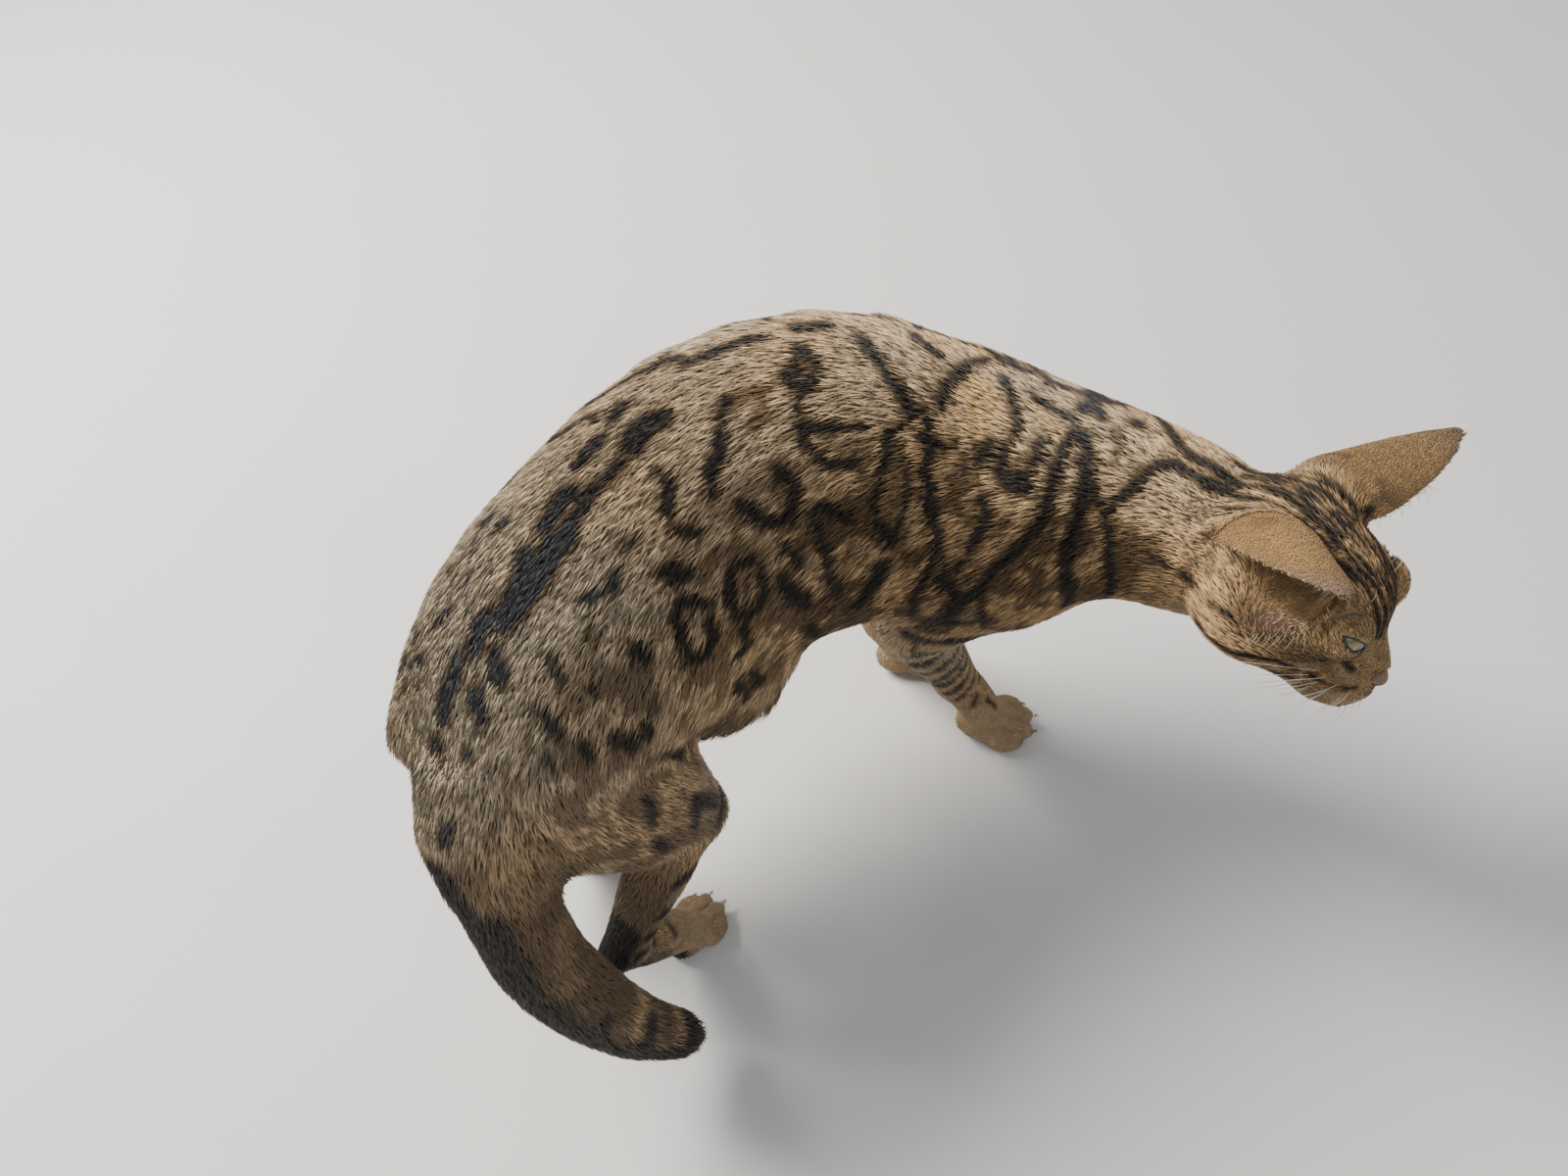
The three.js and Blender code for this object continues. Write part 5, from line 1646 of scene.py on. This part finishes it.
class CAT_OT_coat(Operator):
    """Covers the skin with overlapping tufts that follow its lie"""

    bl_idname = "cat.coat"
    bl_label = "Coat"

    def execute(self, context):
        colours = context.scene.cat_colours
        material = coat_material("coat_tufts", colours, coat_group(), False)
        make_coat_pieces(context.scene.cat_coat, material)
        return {"FINISHED"}


class CAT_OT_eyes(Operator):
    """Sets the wet eyes and the dark margins of their lids"""

    bl_idname = "cat.eyes"
    bl_label = "Eyes"

    def execute(self, context):
        colours = context.scene.cat_colours
        wet = eye_material(colours)
        for side, (centre, radius, _, across, up, gaze) in eye_frames().items():
            mesh = eyeball_mesh(f"eyeball_{side}", centre, radius, gaze, across, up)
            place(f"eyeball_{side}", mesh, wet, "eye", [f"eye_{side}"])
        lid = leather_material("lid_margin", tuple(colours.lid), (0.03, 0.02, 0.016, 1), 5200.0, 0.3)
        place("lid_margins", lid_rims(), lid, "dark_coat")
        return {"FINISHED"}


class CAT_OT_nose(Operator):
    """Shapes the nose leather with its nostrils"""

    bl_idname = "cat.nose"
    bl_label = "Nose"

    def execute(self, context):
        colours = context.scene.cat_colours
        # The lid colour is the nose's painted shade in its nostrils, groove and underside.
        leather = leather_material("nose_leather", tuple(colours.nose), tuple(colours.lid), 3600.0, 0.5)
        place("nose_leather", nose_mesh(), leather, "nose", ["nose"])
        return {"FINISHED"}


class CAT_OT_claws(Operator):
    """Curves the claws that show between the toes"""

    bl_idname = "cat.claws"
    bl_label = "Claws"

    def execute(self, context):
        colours = context.scene.cat_colours
        horn = horn_material("claw_horn", tuple(colours.claw_root), tuple(colours.claw_tip), 0.28)
        for leg in legs:
            names = [name for name in sorted(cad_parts) if name.startswith(f"claw_{leg}_")]
            place(f"claws_{leg}", shaded_mesh(f"claws_{leg}", claw_parts(names)), horn, "claw", names)
        return {"FINISHED"}


class CAT_OT_whiskers(Operator):
    """Grows the whiskers of the lips and brows"""

    bl_idname = "cat.whiskers"
    bl_label = "Whiskers"

    def execute(self, context):
        sizes, colours = context.scene.cat_coat, context.scene.cat_colours
        finish = horn_material("whisker_hair", tuple(colours.whisker_root), tuple(colours.whisker_tip), 0.3)
        paths = whisker_paths(np.random.default_rng(sizes.seed))
        mesh = grown_strands("whiskers", paths, sizes.whisker_radius, 6, finish)
        place("whiskers", mesh, finish, "pale_coat")
        return {"FINISHED"}


class CAT_OT_ear_hair(Operator):
    """Grows the long pale hairs in the ears"""

    bl_idname = "cat.ear_hair"
    bl_label = "Ear hair"

    def execute(self, context):
        sizes, colours = context.scene.cat_coat, context.scene.cat_colours
        finish = horn_material("ear_hair", tuple(colours.pale), tuple(colours.whisker_root), 0.5)
        mesh = grown_strands("ear_hair", ear_hair_paths(sizes), 0.00013, 4, finish)
        place("ear_hair", mesh, finish, "ear")
        return {"FINISHED"}


def soft_light(name, at, towards, size, power, colour):
    """A large square light."""
    data = bpy.data.lights.new(name, "AREA")
    data.size = size
    data.energy = power
    data.color = colour
    lamp = bpy.data.objects.new(name, data)
    bpy.context.scene.collection.objects.link(lamp)
    lamp.location = at
    lamp.rotation_euler = (Vector(towards) - Vector(at)).to_track_quat("-Z", "Y").to_euler()


class CAT_OT_stage(Operator):
    """Lays the floor and sets the lights and the camera"""

    bl_idname = "cat.stage"
    bl_label = "Stage"

    def execute(self, context):
        stage = context.scene.cat_stage
        half = stage.floor_size / 2
        mesh = bpy.data.meshes.new("floor")
        corners = [(-half, -half, 0), (half, -half, 0), (half, half, 0), (-half, half, 0)]
        mesh.from_pydata(corners, [], [(0, 1, 2, 3)])
        mesh.materials.append(floor_material(tuple(stage.floor_colour)))
        floor = bpy.data.objects.new("floor", mesh)
        context.scene.collection.objects.link(floor)
        soft_light("key_light", (-1.1, 0.75, 1.5), (0, 0, 0.15), 0.9, stage.key_power, (1.0, 0.965, 0.91))
        soft_light("fill_light", (0.6, -1.4, 1.1), (0, 0, 0.15), 1.2, stage.fill_power, (0.93, 0.96, 1.0))
        world = bpy.data.worlds.new("studio")
        world.use_nodes = True
        background = world.node_tree.nodes["Background"]
        background.inputs["Color"].default_value = (0.86, 0.9, 0.96, 1)
        background.inputs["Strength"].default_value = stage.sky
        context.scene.world = world
        pitch, roll = math.radians(CAMERA_PITCH), math.radians(CAMERA_ROLL)
        level = Vector((1, 0, 0))
        rise = Vector((0, math.sin(pitch), math.cos(pitch)))
        ahead = Vector((0, math.cos(pitch), -math.sin(pitch)))
        right = math.cos(roll) * level + math.sin(roll) * rise
        above = -math.sin(roll) * level + math.cos(roll) * rise
        data = bpy.data.cameras.new("camera")
        data.sensor_fit = "HORIZONTAL"
        data.sensor_width = 36
        data.lens = stage.lens
        data.clip_start = 0.01
        camera = bpy.data.objects.new("camera", data)
        context.scene.collection.objects.link(camera)
        turn = Matrix((right, above, -ahead)).transposed().to_4x4()
        camera.matrix_world = Matrix.Translation(CAMERA_PLACE) @ turn
        context.scene.camera = camera
        return {"FINISHED"}


class CAT_PT_pieces(Panel):
    """Lists the pieces of the cat and what may be changed"""

    bl_label = "Spotted short-haired cat"
    bl_idname = "CAT_PT_pieces"
    bl_space_type = "VIEW_3D"
    bl_region_type = "UI"
    bl_category = "Cat"

    def draw(self, context):
        column = self.layout.column(align=True)
        for operator in OPERATORS:
            column.operator(operator.bl_idname)
        for group in (context.scene.cat_coat, context.scene.cat_colours, context.scene.cat_stage):
            column.separator()
            for name in group.bl_rna.properties.keys():
                if name not in {"rna_type", "name"}:
                    column.prop(group, name)


GROUPS = (CatCoatSizes, CatColours, CatStage)
OPERATORS = (
    CAT_OT_stage, CAT_OT_skin, CAT_OT_coat, CAT_OT_eyes, CAT_OT_nose, CAT_OT_claws, CAT_OT_whiskers,
    CAT_OT_ear_hair,
)


def register():
    """Adds the classes and their settings to Blender."""
    for group in GROUPS + OPERATORS + (CAT_PT_pieces,):
        bpy.utils.register_class(group)
    bpy.types.Scene.cat_coat = PointerProperty(type=CatCoatSizes)
    bpy.types.Scene.cat_colours = PointerProperty(type=CatColours)
    bpy.types.Scene.cat_stage = PointerProperty(type=CatStage)


def unregister():
    """Takes them out again."""
    del bpy.types.Scene.cat_stage
    del bpy.types.Scene.cat_colours
    del bpy.types.Scene.cat_coat
    for group in reversed(GROUPS + OPERATORS + (CAT_PT_pieces,)):
        bpy.utils.unregister_class(group)


def main():
    """Makes every piece."""
    register()
    bpy.ops.cat.stage()
    bpy.ops.cat.skin()
    bpy.ops.cat.coat()
    bpy.ops.cat.eyes()
    bpy.ops.cat.nose()
    bpy.ops.cat.claws()
    bpy.ops.cat.whiskers()
    bpy.ops.cat.ear_hair()


if __name__ == "__main__":
    main()
